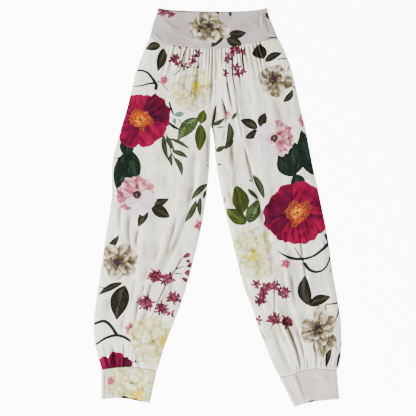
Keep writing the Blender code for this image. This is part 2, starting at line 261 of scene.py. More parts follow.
# soft ridges: start, middle, end, width, height
legFolds = [
    ((10, 112), (24, 200), (36, 275), 9, 3.2),
    ((36, 112), (50, 262), (86, 400), 8, 4.2),
    ((66, 108), (84, 200), (104, 330), 13, 2.4),
    ((124, 225), (140, 290), (163, 360), 14, 2.0),
    ((-2, 372), (12, 455), (44, 600), 9, 2.8),
    ((24, 318), (36, 440), (66, 560), 10, 2.8),
    ((104, 350), (124, 500), (146, 640), 12, 2.4),
    ((146, 520), (170, 640), (224, 868), 10, 3.4),
    ((104, 690), (146, 800), (178, 880), 8, 2.8),
    ((132, 700), (170, 800), (200, 872), 8, 3.0),
    ((216, 610), (226, 700), (230, 790), 12, 1.8),
    ((-22, 112), (-24, 170), (-26, 240), 8, 2.8),
    ((-52, 112), (-58, 170), (-62, 250), 9, 2.4),
    ((-86, 110), (-95, 165), (-102, 230), 10, 2.0),
    ((-38, 300), (-42, 400), (-70, 530), 9, 3.0),
    ((-70, 330), (-98, 480), (-162, 640), 12, 2.4),
    ((-92, 545), (-160, 650), (-192, 790), 9, 3.4),
    ((-164, 470), (-192, 620), (-222, 775), 12, 2.4),
    ((-218, 450), (-236, 540), (-250, 610), 10, 2.2),
    ((-80, 570), (-138, 690), (-172, 840), 10, 2.4),
]
# creases: narrow troughs that run beside the folds, and a few sharp ridges next to them
legCreases = [
    ((34, 104), (38, 170), (52, 263), 2.4, -2.2),
    ((44, 215), (56, 290), (70, 355), 2.4, -2.6),
    ((62, 325), (78, 390), (93, 458), 2.6, -2.6),
    ((90, 440), (108, 510), (121, 562), 4.5, -2.0),
    ((112, 530), (127, 590), (137, 650), 5.5, -2.8),
    ((20, 165), (28, 208), (38, 262), 2.4, -2.2),
    ((9, 222), (19, 258), (21, 300), 2.8, -2.4),
    ((20, 290), (16, 318), (17, 340), 2.4, -1.2),
    ((59, 102), (61, 126), (66, 162), 2.4, -2.2),
    ((-2, 246), (-4, 268), (-8, 292), 5.0, -1.2),
    ((-11, 165), (-15, 212), (-22, 256), 4.0, -1.6),
    ((-44, 100), (-50, 190), (-53, 264), 5.0, -2.2),
    ((-39, 100), (-39, 140), (-40, 175), 2.2, -1.2),
    ((-72, 104), (-78, 150), (-84, 210), 3.0, -1.1),
    ((-104, 100), (-112, 140), (-122, 190), 3.0, -0.9),
    ((72, 190), (81, 220), (85, 250), 4.0, -1.2),
    ((136, 215), (148, 250), (158, 290), 6.0, -1.2),
    ((-24, 296), (-22.5, 350), (-25, 410), 2.6, -2.2),
    ((-29, 300), (-29, 350), (-31, 412), 3.5, 1.2),
    ((-55, 345), (-60, 380), (-66, 430), 6.0, -1.4),
    ((-62, 430), (-68, 470), (-74, 500), 5.0, -1.3),
    ((38, 300), (35, 350), (42, 402), 4.5, -2.2),
    ((42, 395), (41, 425), (36, 452), 4.0, -1.2),
    ((20, 385), (31, 410), (23, 450), 4.5, -1.5),
    ((28, 440), (33, 465), (40, 500), 4.0, -1.4),
    ((-237, 465), (-239, 515), (-236, 578), 4.5, -2.2),
    ((-215, 500), (-218, 545), (-211, 600), 4.0, -1.8),
    ((-192, 535), (-199, 565), (-199, 592), 3.5, -1.4),
    ((-100, 494), (-112, 560), (-143, 645), 5.0, -2.2),
    ((-66, 478), (-98, 566), (-134, 645), 4.5, -2.6),
    ((-57, 400), (-62, 440), (-72, 486), 5.0, -1.4),
    ((-132, 400), (-130, 425), (-128, 455), 6.0, -0.8),
    ((-149, 560), (-150, 600), (-147, 636), 7.0, -0.9),
    ((-96, 570), (-91, 592), (-88, 616), 5.0, -0.9),
    ((-176, 672), (-184, 700), (-188, 724), 3.6, -1.8),
    ((-162, 666), (-170, 700), (-176, 730), 4.2, -2.4),
    ((-109, 668), (-114, 692), (-120, 716), 4.0, -1.4),
    ((-197, 645), (-205, 684), (-210, 740), 5.0, -1.6),
    ((-188, 687), (-199, 747), (-203, 800), 4.0, -2.0),
    ((-176, 735), (-195, 794), (-203, 820), 4.0, -2.2),
    ((-225, 740), (-232, 768), (-236, 800), 4.0, -1.5),
    ((-264, 700), (-268, 730), (-272, 757), 4.0, -1.2),
    ((-260, 820), (-251, 850), (-246, 890), 4.0, -2.2),
    ((-232, 812), (-228, 845), (-222, 890), 3.0, -1.2),
    ((-212, 850), (-209, 870), (-206, 892), 3.0, -1.2),
    ((-198, 840), (-194, 862), (-190, 892), 3.2, -1.2),
    ((-165, 708), (-181, 780), (-190, 845), 3.6, -1.4),
    ((198, 520), (208, 610), (225, 712), 2.6, -1.8),
    ((174, 632), (185, 700), (199, 766), 5.0, -2.2),
    ((166, 630), (176, 700), (188, 765), 6.0, 1.8),
    ((62, 640), (74, 694), (90, 750), 5.0, -1.6),
    ((119, 715), (124, 745), (132, 785), 5.0, -1.4),
    ((128, 740), (156, 836), (191, 910), 5.0, -3.0),
    ((146, 744), (170, 800), (202, 872), 4.0, 1.8),
    ((156, 750), (189, 828), (212, 905), 4.0, -2.2),
    ((184, 760), (204, 820), (226, 900), 3.6, -1.6),
    ((232, 800), (240, 840), (246, 896), 3.0, -1.3),
    ((252, 792), (258, 838), (262, 896), 2.6, -1.1),
]
bandFolds = [
    ((-150, 30), (-122, 44), (-88, 70), 9, 1.6),
    ((-162, 62), (-152, 70), (-138, 82), 5, 2.0),
    ((108, 10), (107, 30), (110, 52), 6, 1.6),
    ((132, 38), (110, 54), (68, 74), 8, 1.6),
    ((-156, 26), (-120, 22), (-84, 26), 6, 0.7),
    ((-100, 60), (-70, 74), (-40, 90), 6, 0.8),
    ((60, 24), (84, 36), (100, 60), 6, 0.8),
    ((119, 6), (122, 42), (133, 78), 3, -1.2),
    ((20, 40), (50, 46), (84, 44), 8, 0.6),
    ((-162, 68), (-155, 74), (-138, 90), 2.6, -1.6),
    ((112, 3), (108, 28), (111, 58), 4, 1.2),
    ((104, 6), (102, 28), (104, 52), 3, -0.9),
    ((112, 76), (128, 74), (150, 73), 2.6, -1.2),
    ((40, 42), (60, 16), (114, 12), 6, 0.7),
    ((-60, 20), (-30, 30), (6, 28), 8, -0.5),
    ((-128, 30), (-96, 56), (-50, 78), 6, -0.6),
    ((-146, 16), (-110, 48), (-66, 66), 4, 0.8),
]
cuffFolds = [
    ((-232, 884), (-248, 915), (-264, 945), 5, 1.4),
    ((-222, 886), (-236, 915), (-252, 948), 3, -1.0),
    ((-276, 878), (-275, 918), (-277, 966), 2.0, -1.2),
    ((-180, 888), (-196, 915), (-200, 950), 8, 0.6),
    ((-160, 894), (-170, 920), (-176, 960), 6, 0.8),
    ((184, 880), (206, 930), (226, 978), 1.8, -1.3),
    ((176, 884), (197, 932), (216, 980), 4, 1.2),
    ((162, 900), (180, 935), (200, 972), 5, -0.8),
    ((236, 888), (262, 915), (272, 945), 9, 0.9),
    ((270, 890), (250, 920), (244, 950), 7, 0.8),
    ((206, 900), (240, 912), (280, 904), 7, -0.8),
    ((214, 948), (240, 938), (262, 914), 6, -0.6),
]
foldEnds = (0.3, 0.45)       # the share of a fold's length over which it rises and dies away


def foldHeight(folds, across, drop, widen=1.0):
    total = np.zeros_like(across)
    for start, middle, end, width, height in folds:
        span = (end[0] - start[0], end[1] - start[1])
        length = math.hypot(*span)
        along = ((across - start[0]) * span[0] + (drop - start[1]) * span[1]) / length ** 2
        side = ((across - start[0]) * span[1] - (drop - start[1]) * span[0]) / length
        bow = ((middle[0] - start[0]) * span[1] - (middle[1] - start[1]) * span[0]) / length
        side = side - 4.0 * along * (1.0 - along) * bow
        ends = smooth(along / foldEnds[0]) * smooth((1.0 - along) / foldEnds[1])
        total += height * ends * np.exp(-(side / (width * widen)) ** 2)
    return total


def tuckRows(tucks, seamPlace, way, fan):
    # short creases of uneven length and depth, leaning outwards away from the seam
    rows = []
    for k in range(tucks["count"]):
        def chance(number):
            return hashed(k, number, tucks["seed"])
        across, drop = seamPlace((k + tuckSway["place"] * chance(1)) / tucks["count"])
        length = blendTo(*tucks["long"], chance(2) ** 2)
        lean = fan(across) * length + tuckSway["lean"] * (chance(3) - 0.5)
        depth = blendTo(*tucks["depth"], chance(4))
        # it starts above the seam, so that it is at its full depth there
        start = (across - tuckSway["start"] * lean, drop - tuckSway["start"] * way * length)
        middle = (across + tuckSway["middle"] * lean + tuckSway["bend"] * (chance(5) - 0.5),
                  drop + tuckSway["middle"] * way * length)
        rows.append((start, middle, (across + lean, drop + way * length), tucks["width"], -depth))
    return rows


def waistTuckRows():
    seam = np.array(outline["waistSeam"])

    def place(share):
        across = blendTo(waistGathers["start"], waistGathers["end"], share)
        return across, float(np.interp(across, *seam.T))
    return tuckRows(waistTucks, place, 1.0, lambda across: waistGathers["fan"] * across)


def cuffTuckRows(side):
    seam = curveThrough("cuffSeam" + side)
    span = cuffGathers[side.lower()]
    lean = cuffTucks["lean"] if side == "Right" else -cuffTucks["lean"]

    def place(share):
        return tuple(seam(blendTo(span["start"], span["end"], share)))
    return tuckRows(cuffTucks, place, -1.0, lambda across: lean)


def gatherPhase(count, share):
    drift, jitter = unevenGathers["drift"], unevenGathers["jitter"]
    return share * count + drift[0] * np.sin(share * drift[1]) + jitter[0] * np.sin(share * jitter[1])


def gatherWave(count, share):
    # rounded ridges with sharper valleys, uneven in height
    sine = np.abs(np.sin(math.pi * gatherPhase(count, share)))
    swell, turns = unevenGathers["swell"]
    strength = 1.0 - swell + swell * np.sin(share * turns)
    ends = smooth(share / unevenGathers["taper"]) * smooth((1.0 - share) / unevenGathers["taper"])
    ridge = (1.0 - gatherForm["sharp"]) * sine + gatherForm["sharp"] * sine ** 2
    return np.where((share > 0) & (share < 1), ridge * strength * ends, 0.0)


def gatherReach(fade, distance):
    rise = blendTo(gatherForm["atSeam"], 1.0, smooth(distance / gatherForm["fullAt"]))
    return rise * np.exp(-(distance / fade) ** 2)


def addGathers(lift, gathers, share, distance):
    # a seam's gathers, then the finer ones between them
    fine = gathers["fine"]
    tall = relief["gatherGain"] * gathers["height"]
    lift = lift + tall * gatherWave(gathers["count"], share) * gatherReach(gathers["fade"], distance)
    fineWave = gatherWave(gathers["count"] * fine["times"], share)
    return lift + fine["height"] * fineWave * gatherReach(fine["fade"], distance)


def gatherJog(gathers, share, distance):
    # how far the cloth slides sideways into its gathers
    swing = gathers["jog"] * np.sin(2 * math.pi * gatherPhase(gathers["count"], share))
    return swing * gatherReach(gathers["fade"], distance) * (share > 0)


def rolled(distance, radius):
    # a quarter round: 0 at the edge, 1 from the radius on
    return np.sqrt(1.0 - (1.0 - np.clip(distance / radius, 0.0, 1.0)) ** 2)


def legPlan(side):
    waist = halved(curveThrough("waistSeam"))

    def top(u):
        half = 0.5 * np.asarray(u)
        return waist(half if side == "Right" else 1.0 - half)
    inner = joined(curveThrough("centreSeam"), curveThrough("inseam" + side), outline["crotchShare"])
    return patch(top, curveThrough("cuffSeam" + side), curveThrough("side" + side), inner)


def evenNoise(across, drop, size, seed):
    # -1 to 1
    tilted = drop + across * relief["rippleTilt"]
    return (softNoise(across / size[0], tilted / size[1], seed) - 0.5) * 2.0


def legLie(plan, side, u, v):
    # the folded lie of a leg: its plan, its lift, its distances to the edges, and the gathers' pull
    gathers = cuffGathers[side.lower()]
    across, drop = plan(u, v).T
    width = spanOf(plan, v)
    length = outline["sideRight"][-1][1] - outline["sideRight"][0][1]
    aboveCrotch = np.maximum(0.0, outline["crotchShare"] - v) * length
    fromInner = np.hypot((1.0 - u) * width, aboveCrotch)
    edge = smooth(u * width / relief["edgeRoll"]) * smooth(fromInner / relief["edgeRoll"])
    seam = np.array(outline["waistSeam"])
    belowWaist = np.maximum(0.0, drop - np.interp(across, *seam.T))
    aboveCuff = (1.0 - v) * length
    slack = smooth(belowWaist / relief["bodyRise"]) * smooth(aboveCuff / relief["bodyRise"])
    lift = blendTo(relief["seamLift"], relief["bodyLift"], slack)
    spread = across / (1.0 + waistGathers["fan"] * belowWaist)
    waistShare = (spread - waistGathers["start"]) / (waistGathers["end"] - waistGathers["start"])
    cuffShare = (u - gathers["start"]) / (gathers["end"] - gathers["start"])
    lift = addGathers(lift, waistGathers, waistShare, belowWaist)
    lift = addGathers(lift, gathers, cuffShare, aboveCuff)
    lift = lift + foldHeight(legFolds, across, drop)
    lift = lift + relief["creaseGain"] * foldHeight(legCreases, across, drop, relief["creaseWiden"])
    lift = lift + foldHeight(waistTuckRows() + cuffTuckRows(side), across, drop)
    lift = lift + relief["ripple"] * evenNoise(across, drop, relief["rippleSize"], 3)
    lift = lift + relief["crumple"] * evenNoise(across, drop, relief["crumpleSize"], 7)
    jog = gatherJog(waistGathers, waistShare, belowWaist) * (waistShare < 1)
    jog = jog + gatherJog(gathers, cuffShare, aboveCuff)
    centreSeam = np.where(aboveCrotch > 0, (1.0 - u) * width, far)
    return {"across": across, "drop": drop, "lift": np.maximum(lift, relief["lowest"]), "edge": edge,
            "jog": jog, "outer": u * width, "inner": fromInner,
            "seam": np.minimum(centreSeam, np.minimum(belowWaist, aboveCuff))}


def seamGroove(distance):
    return relief["seamDip"] * (1.0 - rolled(distance, relief["seamRound"]))


# ---- making a panel

def flatGrid(columns, rows, crowdAcross, crowdDown):
    bm = bmesh.new()
    bmesh.ops.create_grid(bm, x_segments=columns, y_segments=rows, size=0.5)
    mesh = bpy.data.meshes.new("cloth")
    bm.to_mesh(mesh)
    bm.free()
    places = np.empty(len(mesh.vertices) * 3)
    mesh.vertices.foreach_get("co", places)
    u, v = places.reshape(-1, 3)[:, 0] + 0.5, places.reshape(-1, 3)[:, 1] + 0.5
    return mesh, crowd(np.clip(u, 0, 1), crowdAcross), crowd(np.clip(v, 0, 1), crowdDown)


def blurred(sheet, wide, tall):
    rows, columns = sheet.shape
    around = np.pad(sheet, ((tall, tall), (wide, wide)), mode="edge")
    around = sum(around[:, k:k + columns] for k in range(2 * wide + 1)) / (2 * wide + 1)
    return sum(around[k:k + rows] for k in range(2 * tall + 1)) / (2 * tall + 1)


def hollowShare(grid, u, v, height):
    # how far each point lies below the cloth close to it, and further off: the share of painted shade the
    # material lays there
    columns, rows = grid[0] + 1, grid[1] + 1
    order = np.lexsort((u, v))
    sheet = height[order].reshape(rows, columns)
    close = (blurred(sheet, *relief["closeBlur"]) - sheet) / relief["hollow"]
    broad = (blurred(sheet, *relief["broadBlur"]) - sheet) / relief["broadHollow"]
    hollow = np.empty_like(height)
    hollow[order] = np.clip(np.maximum(close, broad), 0.0, 1.0).ravel()
    return hollow


def clothPanel(name, mesh, place, up, wall, printed, node, slotName, material):
    # place: across, drop and height of every point
    across, drop, height = place
    places = np.stack([across + zeroAcross, topY - drop, height], axis=1) * millimetre
    mesh.vertices.foreach_set("co", places.ravel())
    mesh.update()
    normals = np.empty(len(mesh.polygons) * 3)
    mesh.polygons.foreach_get("normal", normals)
    if (normals.reshape(-1, 3)[:, 2].sum() > 0) != up:
        mesh.flip_normals()
    mesh.shade_smooth()
    addPrint(mesh, printed)
    mesh.materials.append(material)
    mesh.name = name
    piece = bpy.data.objects.new(name, mesh)
    bpy.context.scene.collection.objects.link(piece)
    shell = piece.modifiers.new("wall", "SOLIDIFY")
    shell.thickness = wall * millimetre
    shell.offset = -1.0
    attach(piece, "root")
    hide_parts(node)
    return piece


def addPrint(mesh, printed):
    def keep(name, kind, field, values):
        mesh.attributes.new(name, kind, "POINT").data.foreach_set(field, values.ravel())

    for layer in ("under", "over"):
        colour = printed[layer]["colour"]
        keep(layer + "Ink", "FLOAT_COLOR", "color", np.concatenate([colour, np.ones((len(colour), 1))], 1))
        keep(layer + "Edge", "FLOAT", "value", printed[layer]["edge"])
    for name in ("grain", "cloth"):
        keep(name, "FLOAT_VECTOR", "vector", printed[name])
    for name in ("hollow", "speckle"):
        keep(name, "FLOAT", "value", printed[name])


# ---- the print: motifs drawn on the cloth in its own millimetres

palette = {
    "ground": (238, 235, 222), "bandGround": (172, 163, 161), "cuffGround": (206, 198, 192),
    # hollowShade is the colour of the shade painted into hollows, grooves and edges
    "cuffStrip": (222, 218, 206), "warmShade": (226, 214, 184), "hollowShade": (128, 114, 94),
    "crimson": (76, 0, 34), "crimsonDark": (32, 0, 24), "crimsonLight": (128, 1, 48),
    "stamen": (152, 36, 10), "stamenLight": (222, 136, 24), "stamenDark": (104, 10, 26),
    "blossom": (100, 36, 56), "blossomLight": (150, 76, 98), "blossomDark": (58, 14, 36),
    "leafDark": (16, 15, 11), "leafDarkVein": (60, 57, 40),
    "leafDeep": (10, 21, 14), "leafDeepVein": (34, 60, 42),
    "leafGreen": (44, 58, 26), "leafGreenVein": (104, 120, 82),
    "leafOlive": (42, 52, 16), "leafOliveVein": (74, 84, 34),
    "leafTeal": (71, 93, 78), "leafTealVein": (113, 142, 124),
    "willow": (36, 44, 26), "willowVein": (66, 74, 46),
    # the darker stem tone also stands in for painted shade where its strokes run down creases
    "vine": (18, 27, 20), "stem": (50, 42, 32), "stemShade": (58, 40, 42),
    "peony": (190, 190, 116), "peonyLight": (230, 230, 176), "peonyShade": (88, 78, 40),
    "peonyHeart": (224, 196, 0), "peonyGlint": (206, 214, 240),
    "anemone": (166, 88, 102), "anemoneLight": (226, 184, 190), "anemoneShade": (100, 38, 56),
    "anemonePale": (222, 218, 234),
    "heartDark": (37, 20, 30),
    "magnolia": (108, 98, 74), "magnoliaLight": (214, 202, 178), "magnoliaShade": (36, 34, 22),
    "magnoliaHeart": (62, 40, 50),
    "pinkLight": (226, 150, 168), "pink": (164, 56, 80), "pinkHeart": (90, 12, 34),
}
inkDrawing = {
    "noInk": 9.0,            # the distance kept where nothing is printed
    "soft": 1.8,             # millimetres over which one ink gives way to another
    "bleed": 4.0,            # an ink's colour is laid this far past its edge, where nothing else is
    "shadeReach": 5.0,       # a motif shades what it lies on within this
    "notch": 0.16,           # half the width of the notch in a petal's tip, as a share of its own
    "ripples": (9.0, 17.0),  # waves across a petal's tip
    "probe": 0.02,
}


def ink(name):
    # screen colour to linear
    value = np.array(palette[name]) / 255.0
    return np.where(value <= 0.04045, value / 12.92, ((value + 0.055) / 1.055) ** 2.4)


def newPrint(across, drop, jog):
    count = len(across)
    cloth = np.stack([across + jog, drop, np.zeros(count)], 1)
    printed = {"grain": cloth * np.array([0.2, 0.2, 0.0]), "cloth": cloth, "hollow": np.zeros(count),
               "speckle": np.zeros(count)}
    for layer in ("under", "over"):
        bare = np.full(count, inkDrawing["noInk"])
        printed[layer] = {"colour": np.tile(ink("ground"), (count, 1)), "edge": bare}
    return printed


def near(printed, centre, reach):
    away = np.abs(printed["cloth"][:, :2] - np.array(centre))
    return np.flatnonzero((away[:, 0] < reach) & (away[:, 1] < reach))


def layInk(printed, layer, picked, distance, colour, grain=None, shade=0.0, speckle=0.0):
    # distance: millimetres outside the shape, negative inside
    target = printed[layer]
    edge = target["edge"][picked]
    old = target["colour"][picked]
    colour = np.broadcast_to(colour, old.shape)
    if shade:
        dimmed = (1.0 - shade * smooth(1.0 - distance / inkDrawing["shadeReach"]))[:, None]
        old = np.where(((distance > 0) & (edge < 0))[:, None], old * dimmed, old)
    onInk = np.clip(0.5 - distance / inkDrawing["soft"], 0.0, 1.0)
    onGround = ((distance < inkDrawing["bleed"]) & (distance < edge)) * 1.0
    target["colour"][picked] = blendTo(old, colour, np.where(edge < 0, onInk, onGround)[:, None])
    target["edge"][picked] = np.minimum(edge, distance)
    inside = distance < 0
    if layer == "over":
        printed["speckle"][picked[inside]] = speckle
    if grain is not None:
        printed["grain"][picked[inside]] = grain[inside]


def aim(base, tip):
    # the turn and length from a base to a tip; turn 0 points to the waist
    step = (tip[0] - base[0], tip[1] - base[1])
    return math.degrees(math.atan2(step[0], -step[1])), math.hypot(*step)


def petalShape(printed, base, turn, length, width, fullness=1.5, blunt=0.6, notch=0.0, bow=0.0, wave=0.0,
               seed=0):
    # distance and own coordinates of a petal or leaf that grows from its base
    picked = near(printed, base, length * 1.15 + width * 0.5 + 6.0)
    away = printed["cloth"][picked, :2] - np.array(base)
    angle = math.radians(turn)
    along = away[:, 0] * math.sin(angle) - away[:, 1] * math.cos(angle)
    across = away[:, 0] * math.cos(angle) + away[:, 1] * math.sin(angle)
    s = along / length
    across = across - bow * length * s * (1.0 - s) * 4.0 * (s > 0)
    if wave:
        slow, quick = (across / width * ripples for ripples in inkDrawing["ripples"])
        s = s * (1.0 + wave * np.sin(slow + seed) + wave * np.sin(quick + seed * 2.3))
    if notch:
        s = s * (1.0 + notch * np.exp(-(across / (inkDrawing["notch"] * width)) ** 2))
    inside = np.clip(s, 0.0, 1.0)

    def halfWidth(share):
        return 0.5 * width * np.maximum(np.sin(math.pi * share ** fullness), 0.0) ** blunt
    half = halfWidth(inside)
    probe = inkDrawing["probe"]
    steep = (halfWidth(np.clip(inside + probe, 0.0, 1.0)) - half) / (probe * length)
    distance = (np.abs(across) - half) / np.sqrt(1.0 + steep ** 2)
    beyond = np.where(s > 1.0, np.hypot((s - 1.0) * length, across), np.hypot(s * length, across))
    distance = np.where((s > 1.0) | (s < 0.0), beyond, distance)
    return picked, distance, inside, across / np.maximum(half, 0.1), across


# how petals are painted: tones from dark to light, and what moves a place between them
petalColumns = ("low", "rise", "streaks", "mottle", "crease", "shade", "lip", "rim", "threads")
petalLooks = {
    "crimson": (-0.04, 0.3, 0.5, 0.3, 0.3, 0.6, 0.26, 0.0, 12.0),
    "peony": (0.36, 0.6, 0.5, 0.7, 0.5, 0.36, -0.2, 0.0, 9.0),
    "peonyGold": (0.5, 0.6, 0.5, 0.3, 0.0, 0.2, 0.0, 0.0, 7.0),
    "anemonePink": (0.3, 0.4, 0.9, 0.6, 0.5, 0.32, 0.0, 0.1, 10.0),
    "anemonePale": (0.25, 0.8, 0.5, 0.4, 0.4, 0.22, 0.0, 0.1, 10.0),
    "magnolia": (0.02, 0.86, 0.9, 0.5, 0.6, 0.6, -0.12, 0.2, 6.0),
    "pink": (0.2, 0.7, 0.5, 0.3, 0.2, 0.2, 0.0, 0.0, 8.0),
    "blossom": (0.1, 0.6, 0.6, 0.4, 0.1, 0.25, 0.0, 0.0, 6.0),
}
petalTones = {
    "crimson": ("crimsonDark", "crimson", "crimsonLight"),
    "peony": ("peonyShade", "peony", "peonyLight"),
    "peonyGold": ("peonyShade", "peonyHeart", "peonyHeart"),
    "anemonePink": ("anemoneShade", "anemone", "anemoneLight"),
    "anemonePale": ("anemone", "anemoneLight", "anemonePale"),
    "magnolia": ("magnoliaShade", "magnolia", "magnoliaLight"),
    "pink": ("pinkHeart", "pink", "pinkLight"),
    "blossom": ("blossomDark", "blossom", "blossomLight"),
}
petalGlints = {"peony": ("peonyGlint", 0.27)}        # a cool tone in patches, and their share


def petal(printed, layer, base, turn, length, width, look, seed, bright=0.0, **shape):
    paint = dict(zip(petalColumns, petalLooks[look]))
    picked, distance, s, side, across = petalShape(printed, base, turn, length, width, seed=seed, **shape)
    first, middle, last = (ink(tone) for tone in petalTones[look])
    streak = softNoise(across / width * paint["threads"] + seed * 7.7, s * 2.0 + seed, seed)
    mottle = softNoise(across / 9.0 + seed, s * length / 11.0, seed + 5)
    value = paint["low"] + bright + paint["rise"] * s ** 0.8 + paint["streaks"] * (streak - 0.5)
    value = value + paint["mottle"] * (mottle - 0.5) + paint["rim"] * np.clip(side, -1, 1) ** 4
    value = value - paint["crease"] * np.exp(-(side / 0.12) ** 2) * (1.0 - s)
    value = value + paint["lip"] * smooth((distance + 3.6) / 2.2)
    value = np.clip(value, 0.0, 1.0)[:, None]
    colour = np.where(value < 0.5, blendTo(first, middle, smooth(value * 2.0)),
                      blendTo(middle, last, smooth(value * 2.0 - 1.0)))
    if look in petalGlints:
        tone, share = petalGlints[look]
        patches = softNoise(across / 8.0 + seed * 1.7, s * length / 10.0 + seed, seed + 13)
        colour = blendTo(colour, ink(tone), 0.9 * smooth((patches - 1.0 + share) / 0.14)[:, None])
    grain = np.stack([across * 0.9, s * length * 0.12, np.full_like(s, seed * 3.1)], 1)
    layInk(printed, layer, picked, distance, colour, grain, shade=paint["shade"])


def petalRings(printed, centre, radius, look, levels, turn, seed, tall=1.0, stray=20.0, uneven=0.3, **shape):
    # rings of petals, the inner ones on top; a level is (count, length, width)
    for number, (count, longShare, wideShare) in enumerate(levels):
        for k in range(count):
            angle = turn + 360.0 * k / count + number * 24.0 + stray * (hashed(k, number, seed) - 0.5)
            size = 1.0 - uneven / 2.0 + uneven * hashed(k, number + 9, seed)
            size = size * math.hypot(math.sin(math.radians(angle)), tall * math.cos(math.radians(angle)))
            kind = look if isinstance(look, str) else look(angle)
            petal(printed, "over", centre, angle, radius * longShare * size, radius * wideShare, kind,
                  seed * 20 + number * 12 + k, **shape)


def leaf(printed, base, tip, width, tone, seed, bow, veins):
    turn, length = aim(base, tip)
    picked, distance, s, side, across = petalShape(printed, base, turn, length, width, fullness=0.85,
                                                   blunt=0.85, bow=bow, wave=0.012, seed=seed)
    body, vein = ink(tone), ink(tone + "Vein")
    midrib = np.exp(-(across / 0.9) ** 2)
    lean = s * length - np.abs(across) * 0.9
    pitch = length / (veins + 1.5)
    ribs = np.exp(-((lean / pitch - np.round(lean / pitch)) * pitch / 0.8) ** 2) * (np.abs(side) < 0.9)
    patches = softNoise(across / 6.0 + seed, s * length / 9.0, seed)
    worn = softNoise(across / 4.0 + seed * 2.1, s * length / 16.0, seed + 3)
    worn = worn * (1.0 - np.abs(np.clip(side, -1, 1)))
    halfTone = np.where(across > 0, 0.86, 1.12)[:, None]
    colour = body * (0.75 + 0.5 * patches)[:, None] * halfTone
    colour = blendTo(colour, vein, np.clip(0.5 * ribs + 0.6 * smooth((worn - 0.3) / 0.3), 0, 1)[:, None])
    # a green leaf has a dark midrib, a dark one a light midrib
    spine = body * 0.3 if tone in ("leafGreen", "leafDeep") else vein
    colour = blendTo(colour, spine, 0.8 * midrib[:, None])
    grain = np.stack([across * 0.5, s * length * 0.5, np.full_like(s, seed * 1.7)], 1)
    layInk(printed, "under", picked, distance, colour, grain, shade=0.3)


def leaves(printed, tone, rows, veins=6):
    # a row is (base, tip, width, bow)
    for k, (base, tip, width, bow) in enumerate(rows):
        leaf(printed, base, tip, width, tone, k + base[0] * 0.01, bow, veins)


def stroke(printed, tone, widths, points, steps=28):
    # a stem or vine along a smooth line, through widths set out evenly along it
    line = curveThrough(points)(np.linspace(0.0, 1.0, steps))
    centre = (line.min(0) + line.max(0)) / 2.0
    reach = (line.max(0) - line.min(0)).max() / 2.0 + 10.0
    picked = near(printed, centre, reach)
    cloth = printed["cloth"][picked, :2]
    best = np.full(len(picked), far)
    for k in range(steps - 1):
        a, b = line[k], line[k + 1]
        span = b - a
        t = np.clip(((cloth - a) @ span) / max(span @ span, 1e-9), 0.0, 1.0)
        share = (k + t) / (steps - 1)
        half = np.interp(share, np.linspace(0.0, 1.0, len(widths)), widths) / 2.0
        best = np.minimum(best, np.hypot(*(cloth - a - t[:, None] * span).T) - half)
    layInk(printed, "under", picked, best, ink(tone))


def disc(printed, centre, radius, dark, light, seed, rough=0.2, grain=2.5, speckle=0.0, oval=(1.0, 1.0),
         rays=0.0):
    # a mottled round heart, or one of rays
    picked = near(printed, centre, radius * 1.5 * max(oval) + 5.0)
    away = (printed["cloth"][picked, :2] - np.array(centre)) / np.array(oval)
    r = np.hypot(*away.T)
    angle = np.arctan2(away[:, 1], away[:, 0])
    edge = radius * (1.0 + rough * (softNoise(angle * 2.2 + 9.0, r * 0.0, seed) - 0.5) * 2.0)
    spots = softNoise(away[:, 0] / grain, away[:, 1] / grain, seed)[:, None]
    if rays:
        spots = softNoise(angle * rays + 20.0, r / 7.0, seed)[:, None]
    colour = blendTo(ink(dark), ink(light), smooth((spots - 0.3) / 0.4))
    layInk(printed, "over", picked, r - edge, colour, speckle=speckle)


def crimsonFlower(printed, centre, radius, petals, seed):
    # petals as (turn, length, width, brightness), the later ones on top
    for k, (turn, longShare, wideShare, bright) in enumerate(petals):
        petal(printed, "over", centre, turn, radius * longShare, radius * wideShare, "crimson", seed * 10 + k,
              bright=bright, fullness=2.0, blunt=0.46, notch=0.05, wave=0.01)


def stamens(printed, spot, radius, seed, core, oval=(1.0, 1.0)):
    # rings from the outside in: share of the radius, tones, roughness, dots and rays
    rings = [(1.0, "crimson", "stamenDark", 0.4, 0.35, 6.0), (0.82, "crimson", "stamen", 0.3, 0.45, 5.0),
             (0.45, "stamen", "stamenLight", 0.4, 0.5, 0.0)]
    for k, (share, dark, light, rough, dots, rays) in enumerate(rings):
        disc(printed, spot, radius * share, dark, light, seed + k, rough, speckle=dots, oval=oval, rays=rays)
    disc(printed, spot, radius * core, "leafGreen", "leafDeep", seed + 3)


def peony(printed, centre, radius, turn, seed, heart, tall=1.0, gold=1.0):
    levels = [(7, 1.0, 0.84), (6, 0.8, 0.74), (5, 0.58, 0.64), (4, 0.36, 0.46)]
    petalRings(printed, centre, radius, "peony", levels, turn, seed, tall, fullness=1.9, blunt=0.5, notch=0.1,
               wave=0.03)
    # the golden heart shows between the petals as a few wisps
    for k in range(6):
        angle = turn + 60.0 * k + 40.0 * hashed(k, 2, seed)
        length = gold * (9.0 + 10.0 * hashed(k, 4, seed))
        petal(printed, "over", heart, angle, length, gold * 7.5, "peonyGold", seed * 3 + k, fullness=1.3,
              blunt=0.7, bow=0.2)


def anemone(printed, heart, radius, turn, seed, paleSide):
    def side(angle):
        return "anemonePale" if math.cos(math.radians(angle - paleSide)) > 0.2 else "anemonePink"
    petalRings(printed, heart, radius, side, [(6, 1.04, 1.0), (4, 0.74, 0.8)], turn, seed, uneven=0.16,
               fullness=1.8, blunt=0.45, notch=0.06, wave=0.03)
    disc(printed, heart, radius * 0.25, "anemone", "anemoneLight", seed, rough=0.3, grain=2.0)
    disc(printed, heart, radius * 0.21, "heartDark", "heartDark", seed + 1, rough=0.12)
    disc(printed, heart, radius * 0.08, "magnoliaShade", "magnolia", seed + 2, rough=0.3)


